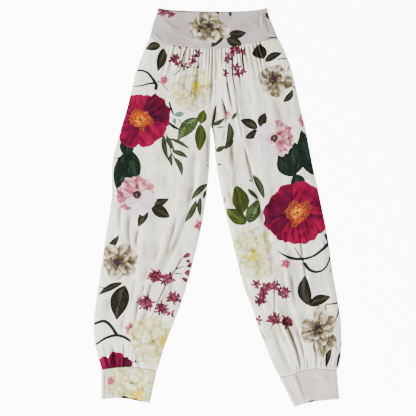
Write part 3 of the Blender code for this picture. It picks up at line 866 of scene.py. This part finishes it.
def magnolia(printed, centre, radius, turn, seed, heart, tall=1.0):
    levels = [(6, 1.0, 0.78), (4, 0.76, 0.6), (3, 0.46, 0.4)]
    petalRings(printed, centre, radius, "magnolia", levels, turn, seed, tall, stray=34.0, fullness=1.45,
               blunt=0.58, wave=0.025)
    disc(printed, heart, radius * 0.27, "magnoliaShade", "magnolia", seed + 1, rough=0.6, grain=3.0)
    disc(printed, heart, radius * 0.16, "heartDark", "magnoliaHeart", seed, rough=0.4, grain=2.0)


def smallFlower(printed, centre, radius, turn, seed):
    for k in range(5):
        length = radius * (0.85 + 0.3 * hashed(k, 1, seed))
        petal(printed, "over", centre, turn + 72.0 * k, length, radius * 0.7, "pink", seed * 50 + k,
              fullness=1.4, blunt=0.7, wave=0.03)
    disc(printed, centre, radius * 0.3, "pinkHeart", "heartDark", seed)
    disc(printed, centre, radius * 0.16, "pinkLight", "pinkLight", seed)


def loosePetals(printed, look, rows):
    # single petals, each from a base to a tip
    for k, (base, tip, width) in enumerate(rows):
        turn, length = aim(base, tip)
        seed = 70 + k + base[0] * 0.01
        petal(printed, "under", base, turn, length, width, look, seed, fullness=1.9, blunt=0.6)


def blossoms(printed, seed, clusters, stems=()):
    # burgundy florets of thin petals, in loose clusters; a cluster is (place, reach)
    for points in stems:
        stroke(printed, "stem", (3.4, 2.2), points)
    for c, (place, reach) in enumerate(clusters):
        count = max(1, int(0.6 + (reach / 6.8) ** 2))
        for k in range(count):
            angle = math.radians(137.5 * k + 90.0 * hashed(c, 1, seed))
            away = max(0.0, reach - 6.0) * math.sqrt((k + 0.2) / count)
            spot = (place[0] + away * math.cos(angle), place[1] + 0.9 * away * math.sin(angle))
            for side in range(5):
                length = 8.0 + 7.0 * hashed(k, side + 5, seed + c)
                bright = 0.5 * (hashed(k + c, side + 8, seed) - 0.4)
                petal(printed, "under", spot, side * 72.0 + 50.0 * hashed(k, side, seed + c), length, 5.4,
                      "blossom", seed * 60 + c * 9 + k * 3 + side, bright=bright, fullness=1.4, blunt=0.65)


def bareStrip(printed, across, lean, bottom):
    # cloth past a join, with nothing printed on it
    cloth = printed["cloth"]
    bare = cloth[:, 0] < across + lean * (bottom - cloth[:, 1])
    for layer in ("under", "over"):
        printed[layer]["edge"][bare] = inkDrawing["noInk"]


def plainStrip(printed, tone, drops, joins):
    # cloth past a join, in another tone; the join lies at (joins, drops)
    cloth = printed["cloth"]
    line = np.interp(cloth[:, 1], drops, joins)
    layInk(printed, "under", np.arange(len(cloth)), cloth[:, 0] - line, ink(tone))


# A print's rows are drawn in turn: the motif's function, then its values.
# stroke: tone, widths, points; leaves: tone, rows of (base, tip, width, bow), veins;
# loosePetals: look, rows of (base, tip, width); blossoms: seed, clusters of (place, reach), stems;
# peony and magnolia: centre, radius, turn, seed, heart, tall; the others as their functions name them

# the wearer's right leg, from the waist down
rightLegPrint = [
    (leaves, "leafDark", [((-139, 92), (-176, 102), 22, 0.06), ((-132, 99), (-147, 156), 24, -0.04)]),
    (blossoms, 6, [((-106, 125), 12), ((-97, 138), 7), ((-82, 143), 7), ((-66, 141), 8), ((-53, 151), 7),
        ((-58, 121), 8), ((-47, 113), 7), ((-62, 130), 6), ((-80, 92), 8), ((-97, 91), 7)],
        [[(-77, 103), (-84, 116), (-88, 136), (-93, 154)], [(-93, 154), (-101, 161), (-110, 167)]]),
    (stroke, "vine", (4.4, 4.8, 5.6, 6.8, 8.0, 9.0), [(-195, 154), (-185, 154), (-171, 160), (-160, 173),
        (-150, 189), (-151, 198)]),
    (stroke, "vine", (3.0, 4.0, 5.5), [(-205, 193), (-185, 191), (-167, 186), (-152, 185)]),
    (stroke, "vine", (2.8, 2.4), [(-147, 180), (-136, 186), (-128, 195), (-120, 204)]),
    (stroke, "vine", (4.0, 6.0, 3.4), [(-118, 232), (-114, 247), (-108, 261)]),
    (stroke, "stem", (2.6, 2.6), [(-95, 272), (-93, 277), (-90, 282)]),
    (stroke, "vine", (6.0, 8.0, 5.0), [(-118, 283), (-108, 291), (-97, 297)]),
    (leaves, "leafTeal", [((-106, 263), (-80, 259), 13, 0.0), ((-106, 270), (-104, 287), 9, 0.0)]),
    (leaves, "leafGreen", [((-48, 270), (-98, 323), 34, 0.05)]),
    (leaves, "leafOlive", [((-42, 284), (-33, 250), 24, 0.0), ((-42, 285), (-46, 352), 28, -0.03)]),
    (stroke, "willow", (2.2, 3.0, 2.2), [(-130, 302), (-119, 324), (-115, 351), (-106, 366), (-88, 381)]),
    (leaves, "willow", [((-132, 309), (-120, 375), 13, 0.06), ((-108, 366), (-87, 414), 13, -0.12),
        ((-119, 320), (-67, 348), 9, -0.06), ((-112, 351), (-72, 368), 13, -0.06),
        ((-115, 357), (-111, 390), 10, 0.05), ((-125, 313), (-105, 351), 12, 0.04)], 0),
    (stroke, "vine", (3.0, 2.4), [(-250, 370), (-238, 366), (-226, 361)]),
    (leaves, "leafDeep", [((-222, 318), (-222, 368), 36, 0.0), ((-228, 356), (-238, 468), 52, -0.03),
        ((-212, 350), (-206, 440), 44, 0.0)]),
    (leaves, "leafDark", [((-164, 481), (-119, 468), 20, 0.05), ((-172, 492), (-195, 537), 22, 0.0),
        ((-162, 490), (-117, 514), 30, -0.05)]),
    (leaves, "willow", [((-24, 431), (-65, 472), 15, 0.06), ((-26, 446), (-36, 468), 10, 0.0),
        ((-42, 464), (-42, 513), 12, 0.05), ((-52, 472), (-81, 527), 15, -0.05),
        ((-28, 384), (-20, 391), 3, 0.0)], 0),
    (stroke, "vine", (2.6, 2.6), [(-292, 684), (-284, 685), (-276, 685)]),
    (leaves, "leafDark", [((-276, 594), (-241, 555), 16, 0.08), ((-232, 673), (-293, 704), 16, 0.05),
        ((-227, 680), (-248, 763), 46, 0.04)]),
    (blossoms, 17, [((-154, 657), 19), ((-125, 663), 18), ((-175, 722), 21), ((-137, 737), 17),
        ((-107, 709), 18), ((-115, 748), 8)],
        [[(-89, 615), (-104, 642), (-127, 680), (-148, 723), (-159, 752)],
        [(-103, 641), (-92, 636), (-80, 634)], [(-103, 651), (-92, 651), (-84, 650)]]),
    (loosePetals, "blossom", [((-88, 614), (-67, 602), 12), ((-81, 622), (-67, 619), 9),
        ((-78, 635), (-60, 628), 12), ((-83, 649), (-67, 649), 16), ((-91, 659), (-73, 670), 10)]),
    (stroke, "stem", (2.4, 2.0), [(-161, 754), (-174, 771), (-188, 784)]),
    (stroke, "vine", (6.6, 8.0, 8.5), [(-304, 775), (-279, 767), (-263, 777), (-247, 800)]),
    (stroke, "vine", (4.0, 7.0, 7.5, 3.4), [(-299, 825), (-272, 808), (-245, 802), (-219, 812),
        (-198, 834)]),
    (peony, (-66, 206), 51, 10, 2, (-52, 195), 1.13),
    (crimsonFlower, (-188, 276), 70, [(328, 0.96, 0.72, 0.5), (2, 0.93, 0.95, 0.55), (33, 1.1, 0.34, 0.1),
        (88, 1.06, 0.55, 0.4), (58, 1.12, 0.85, 0.2), (262, 0.85, 0.7, 0.55), (212, 1.06, 0.75, 0.45),
        (142, 0.95, 1.15, 0.65)], 1),
    (stamens, (-190, 275), 24, 3, 0.14, (1.14, 0.94)),
    (smallFlower, (-130, 177), 12, 15, 5),
    (anemone, (-197, 458), 47, 0, 3, 140),
    (smallFlower, (-44, 533), 15, 40, 6),
    (magnolia, (-238, 622), 48, 12, 4, (-246, 624), 1.1),
    (smallFlower, (-213, 786), 15, 0, 8),
    (peony, (-157, 815), 54, 40, 9, (-135, 815), 1.32),
    (leaves, "leafDeep", [((-202, 862), (-199, 871), 5, 0.0)], 0),
    (crimsonFlower, (-252, 906), 60, [(290, 0.8, 0.8, 0.35), (72, 0.98, 0.34, 0.25), (322, 1.04, 0.62, 0.5),
        (38, 1.02, 0.5, 0.1), (5, 1.1, 0.62, 0.3)], 11),
]

# the wearer's left leg, from the waist down
leftLegPrint = [
    # dark stems that also paint the shade of the creases they run along
    (stroke, "stemShade", (3.2, 3.6, 3.0, 2.0, 1.0), [(36, 98), (36, 140), (38, 174), (46, 215),
        (51, 246)]),
    (stroke, "stemShade", (3.0, 4.4, 2.4), [(59, 98), (62, 130), (66, 160)]),
    (stroke, "stemShade", (2.0, 3.6, 2.0), [(20, 158), (25, 190), (31, 232)]),
    (stroke, "stemShade", (2.4, 4.6, 4.0), [(10, 222), (18, 246), (24, 272)]),
    # a dark grey-brown band along the crotch crease, in the magnolia's darkest tone: painted fold shade
    (stroke, "magnoliaShade", (4.0, 8.0, 5.0), [(-4, 240), (-8, 264), (-13, 292)]),
    # a dark line in the willow's tone along the left leg's inner edge: painted shade at that edge, joined to
    # the willow's print
    (stroke, "willow", (3.0, 4.0, 2.0), [(-14, 283), (-9, 312), (-7, 332)]),
    (blossoms, 18, [((27, 118), 8), ((25, 128), 7), ((37, 100), 8), ((50, 100), 9), ((60, 107), 8),
        ((45, 146), 10), ((50, 159), 9), ((61, 159), 7), ((19, 159), 8), ((40, 112), 8)],
        [[(34, 115), (36, 140), (36, 169)], [(60, 105), (60, 114), (61, 123)]]),
    (leaves, "leafDark", [((112, 126), (104, 88), 36, -0.16), ((116, 133), (158, 111), 18, -0.08)]),
    (stroke, "vine", (3.0, 3.2, 2.6), [(148, 127), (161, 125), (172, 127), (176, 138), (171, 156)]),
    (stroke, "vine", (2.5, 2.5), [(181, 190), (187, 195), (192, 200)]),
    (stroke, "vine", (4.0, 4.0), [(194, 208), (196, 214), (197, 221)]),
    (leaves, "leafDark", [((161, 231), (184, 200), 15, 0.1)]),
    (loosePetals, "pink", [((25, 250), (28, 272), 12), ((-27, 290), (-27, 298), 6),
        ((203, 258), (207, 278), 12), ((197, 272), (207, 283), 9), ((211, 274), (206, 292), 10),
        ((215, 311), (221, 312), 6), ((17, 462), (17, 479), 9)]),
    (leaves, "willow", [((-14, 288), (19, 270), 11, 0.05), ((-5, 293), (22, 292), 4, 0.0),
        ((47, 257), (34, 275), 9, 0.0), ((27, 280), (16, 347), 18, -0.14), ((40, 324), (16, 348), 11, 0.0),
        ((-5, 352), (19, 339), 13, 0.0), ((0, 385), (10, 382), 5, 0.0), ((-9, 342), (-3, 342), 5, 0.0)], 0),
    (leaves, "leafDark", [((98, 296), (55, 275), 23, 0.06), ((105, 293), (117, 257), 23, -0.04),
        ((103, 303), (67, 320), 20, 0.0)]),
    (leaves, "leafDeep", [((238, 411), (204, 300), 54, 0.0), ((190, 412), (150, 352), 48, -0.04),
        ((192, 406), (188, 330), 44, 0.0), ((189, 408), (206, 450), 36, 0.0)]),
    (leaves, "willow", [((86, 409), (114, 470), 17, -0.06), ((73, 443), (101, 470), 11, 0.0),
        ((74, 421), (86, 426), 4, 0.0)], 0),
    (leaves, "leafOlive", [((62, 503), (45, 434), 42, 0.03), ((70, 529), (20, 492), 34, 0.0)]),
    (leaves, "leafGreen", [((75, 527), (101, 470), 34, 0.0)]),
    (stroke, "vine", (2.6, 2.6), [(121, 536), (124, 546), (127, 555)]),
    (stroke, "vine", (1.3, 4.5, 7.7, 6.4, 5.5, 7.0, 9.0), [(139, 589), (158, 603), (180, 613), (208, 615),
        (234, 608), (256, 592), (270, 579)]),
    (stroke, "vine", (9.0, 6.0, 4.0, 4.2, 4.4, 5.4, 7.2, 9.0), [(265, 557), (272, 577), (276, 599),
        (272, 621), (259, 641), (241, 647), (224, 641), (213, 627)]),
    (stroke, "vine", (3.0, 3.4), [(189, 587), (199, 605), (210, 621)]),
    (stroke, "vine", (2.2, 2.2), [(257, 571), (261, 578), (265, 586)]),
    (stroke, "leafGreen", (2.2, 2.2), [(282, 632), (278, 640), (274, 649)]),
    (blossoms, 20, [((97, 676), 9), ((120, 683), 11), ((139, 682), 13), ((161, 697), 17), ((110, 697), 14),
        ((104, 717), 13), ((140, 761), 18), ((170, 769), 16), ((99, 765), 8)],
        [[(140, 665), (138, 708), (138, 741), (134, 774), (129, 789)],
        [(104, 722), (112, 721), (121, 719)]]),
    (stroke, "stem", (2.8, 2.2), [(100, 786), (108, 798), (118, 814)]),
    (leaves, "leafDark", [((224, 729), (214, 654), 33, -0.1), ((224, 729), (277, 707), 26, -0.06)]),
    (stroke, "vine", (3.2, 4.6), [(265, 726), (280, 725), (296, 722)]),
    (stroke, "vine", (4.8, 4.0, 2.4), [(297, 730), (294, 752), (286, 768)]),
    (leaves, "leafDark", [((278, 834), (266, 881), 13, 0.06), ((304, 838), (291, 882), 11, 0.0),
        ((304, 814), (301, 834), 7, 0.0)], 0),
    (stroke, "leafTeal", (1.2, 1.6), [(288, 817), (291, 829), (294, 842)]),
    (magnolia, (138, 177), 46, 30, 21, (139, 171), 0.86),
    (anemone, (139, 320), 46, 20, 22, 270),
    (crimsonFlower, (196, 504), 78, [(315, 1.0, 1.1, 0.4), (30, 1.03, 1.15, 0.6), (100, 1.0, 1.05, 0.55),
        (262, 1.12, 0.9, 0.25), (228, 1.05, 0.72, 0.3), (195, 1.0, 0.68, 0.6), (158, 1.0, 0.76, 0.65)], 23),
    (stamens, (195, 502), 28, 24, 0.12),
    (peony, (88, 599), 59, 0, 24, (87, 610), 1.2),
    (smallFlower, (167, 626), 13, 20, 25),
    (magnolia, (247, 792), 48, 60, 26, (245, 782), 1.22),
]

# the waistband and the cuffs, front and inside
bandPrint = [
    (leaves, "leafDark", [((27, 64), (71, 62), 21, 0.05), ((22, 76), (60, 92), 25, 0.0),
        ((15, 72), (-16, 98), 18, 0.1), ((118, 12), (126, 29), 9, 0.0), ((-40, 12), (-24, 20), 8, 0.0),
        ((4, 12), (-12, 20), 8, 0.0), ((31, 9), (31, 23), 8, 0.0)]),
    # a dark line in the vine's tone where the band's seam ends: painted shadow
    (stroke, "vine", (3.6, 2.4), [(126, 74), (138, 73), (154, 77)]),
    (blossoms, 30, [((-134, 11), 9), ((-113, 15), 9)]),
    (magnolia, (-25, 49), 49, 40, 31, (-21, 43), 0.74),
]
bandInsidePrint = [
    (leaves, "leafDark", [((6, 12), (-40, 12), 12, 0.0), ((24, 16), (46, 16), 10, 0.0),
        ((34, 22), (31, 2), 9, 0.0)]),
    (blossoms, 33, [((-132, 6), 9)]),
]
rightCuffPrint = [
    (peony, (-208, 920), 68, 30, 35, (-206, 941), 1.0, 1.6),
    (peony, (-232, 962), 44, 80, 36, (-198, 956), 1.0, 1.4),
    (smallFlower, (-262, 914), 13, 10, 37),
    (bareStrip, -272.0, 0.05, 958.0),
]
leftCuffPrint = [
    (plainStrip, "cuffStrip", [890.0, 899.0, 940.0, 962.0], [186.0, 190.0, 213.0, 224.0]),
]
cuffInsidePrint = [
    (leaves, "leafDark", [((-236, 950), (-205, 976), 16, 0.0), ((-212, 958), (-178, 964), 14, 0.0)]),
    (blossoms, 37, [((231, 966), 9)]),
]


def drawMotifs(printed, rows):
    for motif, *values in rows:
        motif(printed, *values)


# ---- jersey

jersey = {
    "roughness": 0.9,
    "sheen": 0.03,
    "sheenRoughness": 0.45,
    "specular": 0.12,
    "slub": 0.07,            # uneven yarn, as a share of the colour
    "streak": 0.18,          # fibre and brush streaks in the print
    "anther": 2.8,           # millimetres between the stamens' dots
    "inkEdge": 0.35,         # millimetres over which the ink bleeds
    "wale": 1.1,             # millimetres between the knit's columns
    "knitDepth": 0.0002,
    "warmth": 0.45,
    # strength of the shade painted into the hollows
    "hollowShadeStrength": 0.97,
    "inkHollow": 0.5,        # how much of the painted hollow shade shows on the ink
}
softStep = {"interpolation_type": "SMOOTHSTEP"}
tintMix = {"data_type": "RGBA", "blend_type": "MULTIPLY"}


def nodeMaker(material):
    # make("Math", {...}, i0=..., Scale=...) adds a node; i0 is its first input
    tree = material.node_tree

    def make(kind, settings=None, **links):
        node = tree.nodes.new("ShaderNode" + kind)
        for key, value in (settings or {}).items():
            setattr(node, key, value)
        for key, value in links.items():
            socket = node.inputs[int(key[1:])] if key[0] == "i" and key[1:].isdigit() else node.inputs[key]
            if isinstance(value, bpy.types.NodeSocket):
                tree.links.new(value, socket)
            else:
                socket.default_value = value
        return node
    return tree, make


def printedColour(make, attribute, cloth, ground):
    # the two layers of ink over the ground, and small bright dots on the stamens
    colour = ground
    for layer in ("under", "over"):
        cover = make("MapRange", softStep, i0=attribute(layer + "Edge").outputs["Fac"], i1=jersey["inkEdge"],
                     i2=-jersey["inkEdge"])
        mix = make("Mix", {"data_type": "RGBA"}, i0=cover.outputs[0], i6=colour,
                   i7=attribute(layer + "Ink").outputs["Color"])
        colour = mix.outputs[2]
    dotPlace = make("VectorMath", {"operation": "SCALE"}, i0=cloth, Scale=1.0 / jersey["anther"])
    cells = make("TexVoronoi", {"voronoi_dimensions": "2D"}, Vector=dotPlace.outputs[0], Scale=1.0)
    dots = make("MapRange", softStep, i0=cells.outputs["Distance"], i1=0.46, i2=0.2)
    dotted = make("Math", {"operation": "MULTIPLY"}, i0=dots.outputs[0],
                  i1=attribute("speckle").outputs["Fac"])
    stamenMix = make("Mix", {"data_type": "RGBA"}, i0=dotted.outputs[0], i6=colour,
                     i7=(*ink("stamenLight"), 1.0))
    return stamenMix.outputs[2]


def inkedShare(make, attribute):
    bothEdges = make("Math", {"operation": "MINIMUM"}, i0=attribute("underEdge").outputs["Fac"],
                     i1=attribute("overEdge").outputs["Fac"])
    inked = make("MapRange", softStep, i0=bothEdges.outputs[0], i1=jersey["inkEdge"], i2=-jersey["inkEdge"])
    return inked.outputs[0]


def yarnTone(make, attribute, cloth, inked):
    # uneven yarn all over; the streaks belong to the ink, so the bare ground takes none
    streaks = make("TexNoise", {"noise_dimensions": "3D"}, Vector=attribute("grain").outputs["Vector"],
                   Scale=1.0, Detail=3.0, Roughness=0.6)
    slubPlace = make("VectorMath", {"operation": "MULTIPLY"}, i0=cloth, i1=(0.03, 0.55, 1.0))
    slub = make("TexNoise", {"noise_dimensions": "2D"}, Vector=slubPlace.outputs[0], Scale=1.0,
                Detail=4.0, Roughness=0.65)
    streakTone = make("MapRange", None, i0=streaks.outputs[0], i1=0.25, i2=0.75,
                      i3=1.0 - jersey["streak"], i4=1.0 + jersey["streak"])
    slubTone = make("MapRange", None, i0=slub.outputs[0], i1=0.2, i2=0.8,
                    i3=1.0 - jersey["slub"], i4=1.0 + jersey["slub"])
    streakHere = make("Mix", {"data_type": "FLOAT"}, i0=inked, i2=1.0, i3=streakTone.outputs[0])
    tone = make("Math", {"operation": "MULTIPLY"}, i0=streakHere.outputs[0], i1=slubTone.outputs[0])
    return tone.outputs[0]


def yellowingAndPaintedShade(make, attribute, cloth, inked, colour):
    # the cloth yellows a little in broad patches, and painted shade darkens the folds' hollows, the seams'
    # grooves and the panels' edges
    patches = make("TexNoise", {"noise_dimensions": "2D"}, Vector=cloth, Scale=0.016, Detail=2.0)
    warm = make("MapRange", softStep, i0=patches.outputs[0], i1=0.42, i2=0.68, i4=jersey["warmth"])
    warmed = make("Mix", tintMix, i0=warm.outputs[0], i6=colour, i7=(*ink("warmShade"), 1.0))
    # painted shade: the hollows are darkened towards the hollowShade colour, less so on the ink
    inkFall = make("MapRange", None, i0=inked, i3=jersey["hollowShadeStrength"],
                   i4=jersey["hollowShadeStrength"] * jersey["inkHollow"])
    deep = make("Math", {"operation": "MULTIPLY"}, i0=attribute("hollow").outputs["Fac"],
                i1=inkFall.outputs[0])
    shaded = make("Mix", tintMix, i0=deep.outputs[0], i6=warmed.outputs[2], i7=(*ink("hollowShade"), 1.0))
    return shaded.outputs[2]


def knitBump(make, cloth):
    knitPlace = make("VectorMath", {"operation": "SCALE"}, i0=cloth, Scale=1.0 / jersey["wale"])
    knit = make("TexWave", {"wave_type": "BANDS", "bands_direction": "X"}, Vector=knitPlace.outputs[0],
                Scale=0.3183, Distortion=1.2, Detail=2.0)
    fuzz = make("TexNoise", {"noise_dimensions": "2D"}, Vector=cloth, Scale=0.9, Detail=3.0)
    height = make("Math", {"operation": "ADD"}, i0=knit.outputs["Fac"], i1=fuzz.outputs[0])
    bump = make("Bump", None, Strength=0.5, Distance=jersey["knitDepth"], Height=height.outputs[0])
    return bump.outputs[0]


def jerseyMaterial(name, groundTone):
    material = bpy.data.materials.new(name)
    material.use_nodes = True
    tree, make = nodeMaker(material)
    shader = tree.nodes["Principled BSDF"]
    shader.inputs["Roughness"].default_value = jersey["roughness"]
    shader.inputs["Sheen Weight"].default_value = jersey["sheen"]
    shader.inputs["Sheen Roughness"].default_value = jersey["sheenRoughness"]
    shader.inputs["Specular IOR Level"].default_value = jersey["specular"]

    def attribute(key):
        return make("Attribute", {"attribute_name": key})

    cloth = attribute("cloth").outputs["Vector"]
    ground = make("RGB")
    ground.outputs[0].default_value = (*ink(groundTone), 1.0)
    colour = printedColour(make, attribute, cloth, ground.outputs[0])
    inked = inkedShare(make, attribute)
    tone = yarnTone(make, attribute, cloth, inked)
    toned = make("VectorMath", {"operation": "SCALE"}, i0=colour, Scale=tone)
    shaded = yellowingAndPaintedShade(make, attribute, cloth, inked, toned.outputs[0])
    tree.links.new(shaded, shader.inputs["Base Color"])
    tree.links.new(knitBump(make, cloth), shader.inputs["Normal"])
    return material


legJersey = jerseyMaterial("legJersey", "ground")
bandJersey = jerseyMaterial("bandJersey", "bandGround")
cuffJersey = jerseyMaterial("cuffJersey", "cuffGround")
print("jersey mixed")

# ---- legs

legSettings = {
    # edgeRound: the panel's edge rolls over within this; groove: the share of a seam's groove it shows
    "front": {"grid": (132, 366), "wall": 0.9, "edgeRound": 4.5, "groove": 1.0},
    "back": {"grid": (92, 330), "wall": 0.72, "edgeRound": 3.0, "groove": 0.6},
    "crowdAcross": 0.18, "cut": (0.29, 0.84), "cutArea": 0.19,
}


def legPanel(layer, side, motifs):
    settings = legSettings[layer]
    front = layer == "front"
    up = 1.0 if front else -1.0
    mesh, u, v = flatGrid(*settings["grid"], legSettings["crowdAcross"], 0.0)
    lie = legLie(legPlan(side), side, u, v)
    meeting = relief["backWall"] + relief["layerGap"] / 2.0
    if front:
        face = relief["backWall"] + relief["layerGap"] + relief["frontWall"] + lie["edge"] * lie["lift"]
    else:
        pressed = np.clip(lie["lift"] / relief["pressedLift"], 0.0, 1.0)
        face = relief["clear"] + relief["backRelief"] * lie["edge"] * pressed
    roll = rolled(lie["outer"], settings["edgeRound"]) * rolled(lie["inner"], settings["edgeRound"])
    groove = settings["groove"] * seamGroove(lie["seam"])
    height = meeting + roll * (face - meeting) - up * groove * roll
    # the back's print is the other front's, turned over
    printed = newPrint(up * lie["across"], lie["drop"], lie["jog"])
    drawMotifs(printed, motifs)
    # painted shade: the front's hollows are measured on its face, with seam grooves and rolled edges lowered
    # so they take painted shade; the back's on its underside
    shadeHeight = face - groove - relief["edgeShade"] * (1.0 - roll) if front else -height
    printed["hollow"] = hollowShare(settings["grid"], u, v, shadeHeight)
    name = layer + "Leg" + side
    piece = clothPanel(name, mesh, (lie["across"], lie["drop"], height), front, settings["wall"], printed,
                       layer + "_leg_" + side.lower(), "printed_jersey", legJersey)
    print(name, "laid")


legPanel("front", "Right", rightLegPrint)
legPanel("front", "Left", leftLegPrint)
legPanel("back", "Right", leftLegPrint)
legPanel("back", "Left", rightLegPrint)

# ---- waistband and cuffs

foldedRelief = {
    "crowd": (0.3, 0.45),
    "sideRound": 4.5,        # a side rolls over within this
    "sideRise": 0.06,        # the lift rises from a side within this share of the width
    "foldRound": 2.2,
    "lift": 0.6,
    "soft": 0.5, "softSize": (21.0, 15.0), "softBack": 0.3,
    "front": (0.9, 1.1),     # how far the cloth dips at its folded edge and at its seam
    "back": (-0.6, -0.4),    # the underside rises there
}
bandSettings = {
    "front": (180, 54), "back": (120, 32), "wall": 1.5, "cut": (0.32, 0.10), "cutArea": 0.027,
    "cloth": bandJersey, "slot": "waistband_jersey", "seamAtTop": False,
}
cuffSettings = {
    "front": (84, 50), "back": (56, 30), "wall": 1.5, "cut": (0.15, 0.085), "cutArea": 0.0102,
    "cloth": cuffJersey, "slot": "cuff_jersey", "seamAtTop": True,
}


def foldedPanel(name, node, layer, plan, folds, motifs, settings):
    # one half of the waistband or of a cuff
    front = layer == "Front"
    grid = settings[layer.lower()]
    mesh, u, v = flatGrid(*grid, *foldedRelief["crowd"])
    across, drop = plan(u, v).T
    width = spanOf(plan, v)
    upper, lower = plan(u, np.zeros_like(u)), plan(u, np.ones_like(u))
    tall = np.hypot(*(upper - lower).T)
    side = np.minimum(u, 1.0 - u)
    free, sewn = v * tall, (1.0 - v) * tall
    if settings["seamAtTop"]:
        free, sewn = sewn, free
    wall, gap = relief["bandWall"], relief["layerGap"]
    meeting = wall + gap / 2.0
    soft = softNoise(across / foldedRelief["softSize"][0], drop / foldedRelief["softSize"][1], 11) - 0.5
    soft = soft * foldedRelief["soft"]
    if front:
        lift = foldedRelief["lift"] + foldHeight(folds, across, drop) + soft
        face = 2 * wall + gap + smooth(side / foldedRelief["sideRise"]) * lift
    else:
        face = relief["clear"] + foldedRelief["softBack"] * np.abs(soft)
    roll = rolled(side * width, foldedRelief["sideRound"])
    foldDip, seamDip = foldedRelief[layer.lower()]
    height = meeting + roll * (face - meeting)
    height = height - roll * foldDip * (1.0 - rolled(free, foldedRelief["foldRound"]))
    height = height - roll * seamDip * (1.0 - rolled(sewn, relief["seamRound"]))
    printed = newPrint(across, drop, np.zeros_like(across))
    drawMotifs(printed, motifs)
    # painted shade in the hollows of the band's and cuffs' folds, seams and edges
    printed["hollow"] = hollowShare(grid, u, v, height if front else -height)
    piece = clothPanel(name + layer, mesh, (across, drop, height), front, settings["wall"], printed,
                       node + "_" + layer.lower(), settings["slot"], settings["cloth"])
    print(name + layer, "laid")


def waistband():
    seam = halved(curveThrough("waistSeam"))
    sides = curveThrough("waistSideRight"), curveThrough("waistSideLeft")
    for layer, folds, motifs in (("Front", bandFolds, bandPrint), ("Back", [], bandInsidePrint)):
        plan = patch(halved(curveThrough("waistTop" + layer)), seam, *sides)
        foldedPanel("waistband", "waistband", layer, plan, folds, motifs, bandSettings)


def cuff(side, frontPrint):
    seam = outline["cuffSeam" + side]
    for layer, motifs in (("Front", frontPrint), ("Back", cuffInsidePrint)):
        hem = outline["cuffHem" + side + layer]
        plan = patch(curveThrough(seam), curveThrough(hem), curveThrough([seam[0], hem[0]]),
                     curveThrough([seam[-1], hem[-1]]))
        foldedPanel("cuff" + side, "cuff_" + side.lower(), layer, plan, cuffFolds, motifs, cuffSettings)


waistband()
cuff("Right", rightCuffPrint)
cuff("Left", leftCuffPrint)

# ---- floor, light and camera

studio = {
    "floorTone": 0.92, "floorGrain": 0.01, "floorRoughness": 0.9, "floorGlow": 9.0, "floorSize": 9.0,
    "keyPower": 1250.0, "keyPlace": (-4.2, -2.6, 2.5), "keySize": 1.5,
    "fillPower": 120.0, "fillPlace": (2.6, 2.4, 3.6), "fillSize": 3.0,
    "worldStrength": 0.42,
    "photoPixel": 0.00245,   # metres a pixel of the photograph covers
    "photoWidth": 416,
    "photoMiddle": (217.5, 207.5),      # the garment's middle in the photograph, in its pixels
    "cameraHeight": 3.2,
    "sensor": 36.0,
}
white = (1.0, 1.0, 1.0, 1.0)


def paleFloor():
    bpy.ops.mesh.primitive_plane_add(size=studio["floorSize"])
    floor = bpy.context.object
    floor.name = "floor"
    paint = bpy.data.materials.new("floorPaint")
    paint.use_nodes = True
    tree, make = nodeMaker(paint)
    grain = make("TexNoise", None, Scale=40.0, Detail=3.0)
    tone = make("MapRange", None, i0=grain.outputs[0], i3=studio["floorTone"] - studio["floorGrain"],
                i4=studio["floorTone"] + studio["floorGrain"])
    shader = tree.nodes["Principled BSDF"]
    tree.links.new(tone.outputs[0], shader.inputs["Base Color"])
    shader.inputs["Roughness"].default_value = studio["floorRoughness"]
    shader.inputs["Emission Color"].default_value = white
    shader.inputs["Emission Strength"].default_value = studio["floorGlow"]
    floor.data.materials.append(paint)


def softLight():
    for name in ("key", "fill"):
        lamp = bpy.data.lights.new(name, "AREA")
        lamp.energy = studio[name + "Power"]
        lamp.size = studio[name + "Size"]
        light = bpy.data.objects.new(name, lamp)
        light.location = studio[name + "Place"]
        light.rotation_euler = (-light.location).to_track_quat("-Z", "Y").to_euler()
        bpy.context.scene.collection.objects.link(light)
    world = bpy.data.worlds.new("studio")
    world.use_nodes = True
    background = world.node_tree.nodes["Background"]
    background.inputs["Color"].default_value = white
    background.inputs["Strength"].default_value = studio["worldStrength"]
    bpy.context.scene.world = world


def photoCamera():
    # straight above, framed as the photograph is
    lens = bpy.data.cameras.new("camera")
    field = studio["photoWidth"] * studio["photoPixel"]
    lens.sensor_width = studio["sensor"]
    lens.lens = lens.sensor_width * studio["cameraHeight"] / field
    camera = bpy.data.objects.new("camera", lens)
    half = studio["photoWidth"] / 2.0
    camera.location = ((half - studio["photoMiddle"][0]) * studio["photoPixel"],
                       (studio["photoMiddle"][1] - half) * studio["photoPixel"], studio["cameraHeight"])
    bpy.context.scene.collection.objects.link(camera)
    bpy.context.scene.camera = camera


paleFloor()
softLight()
photoCamera()
print("studio set")
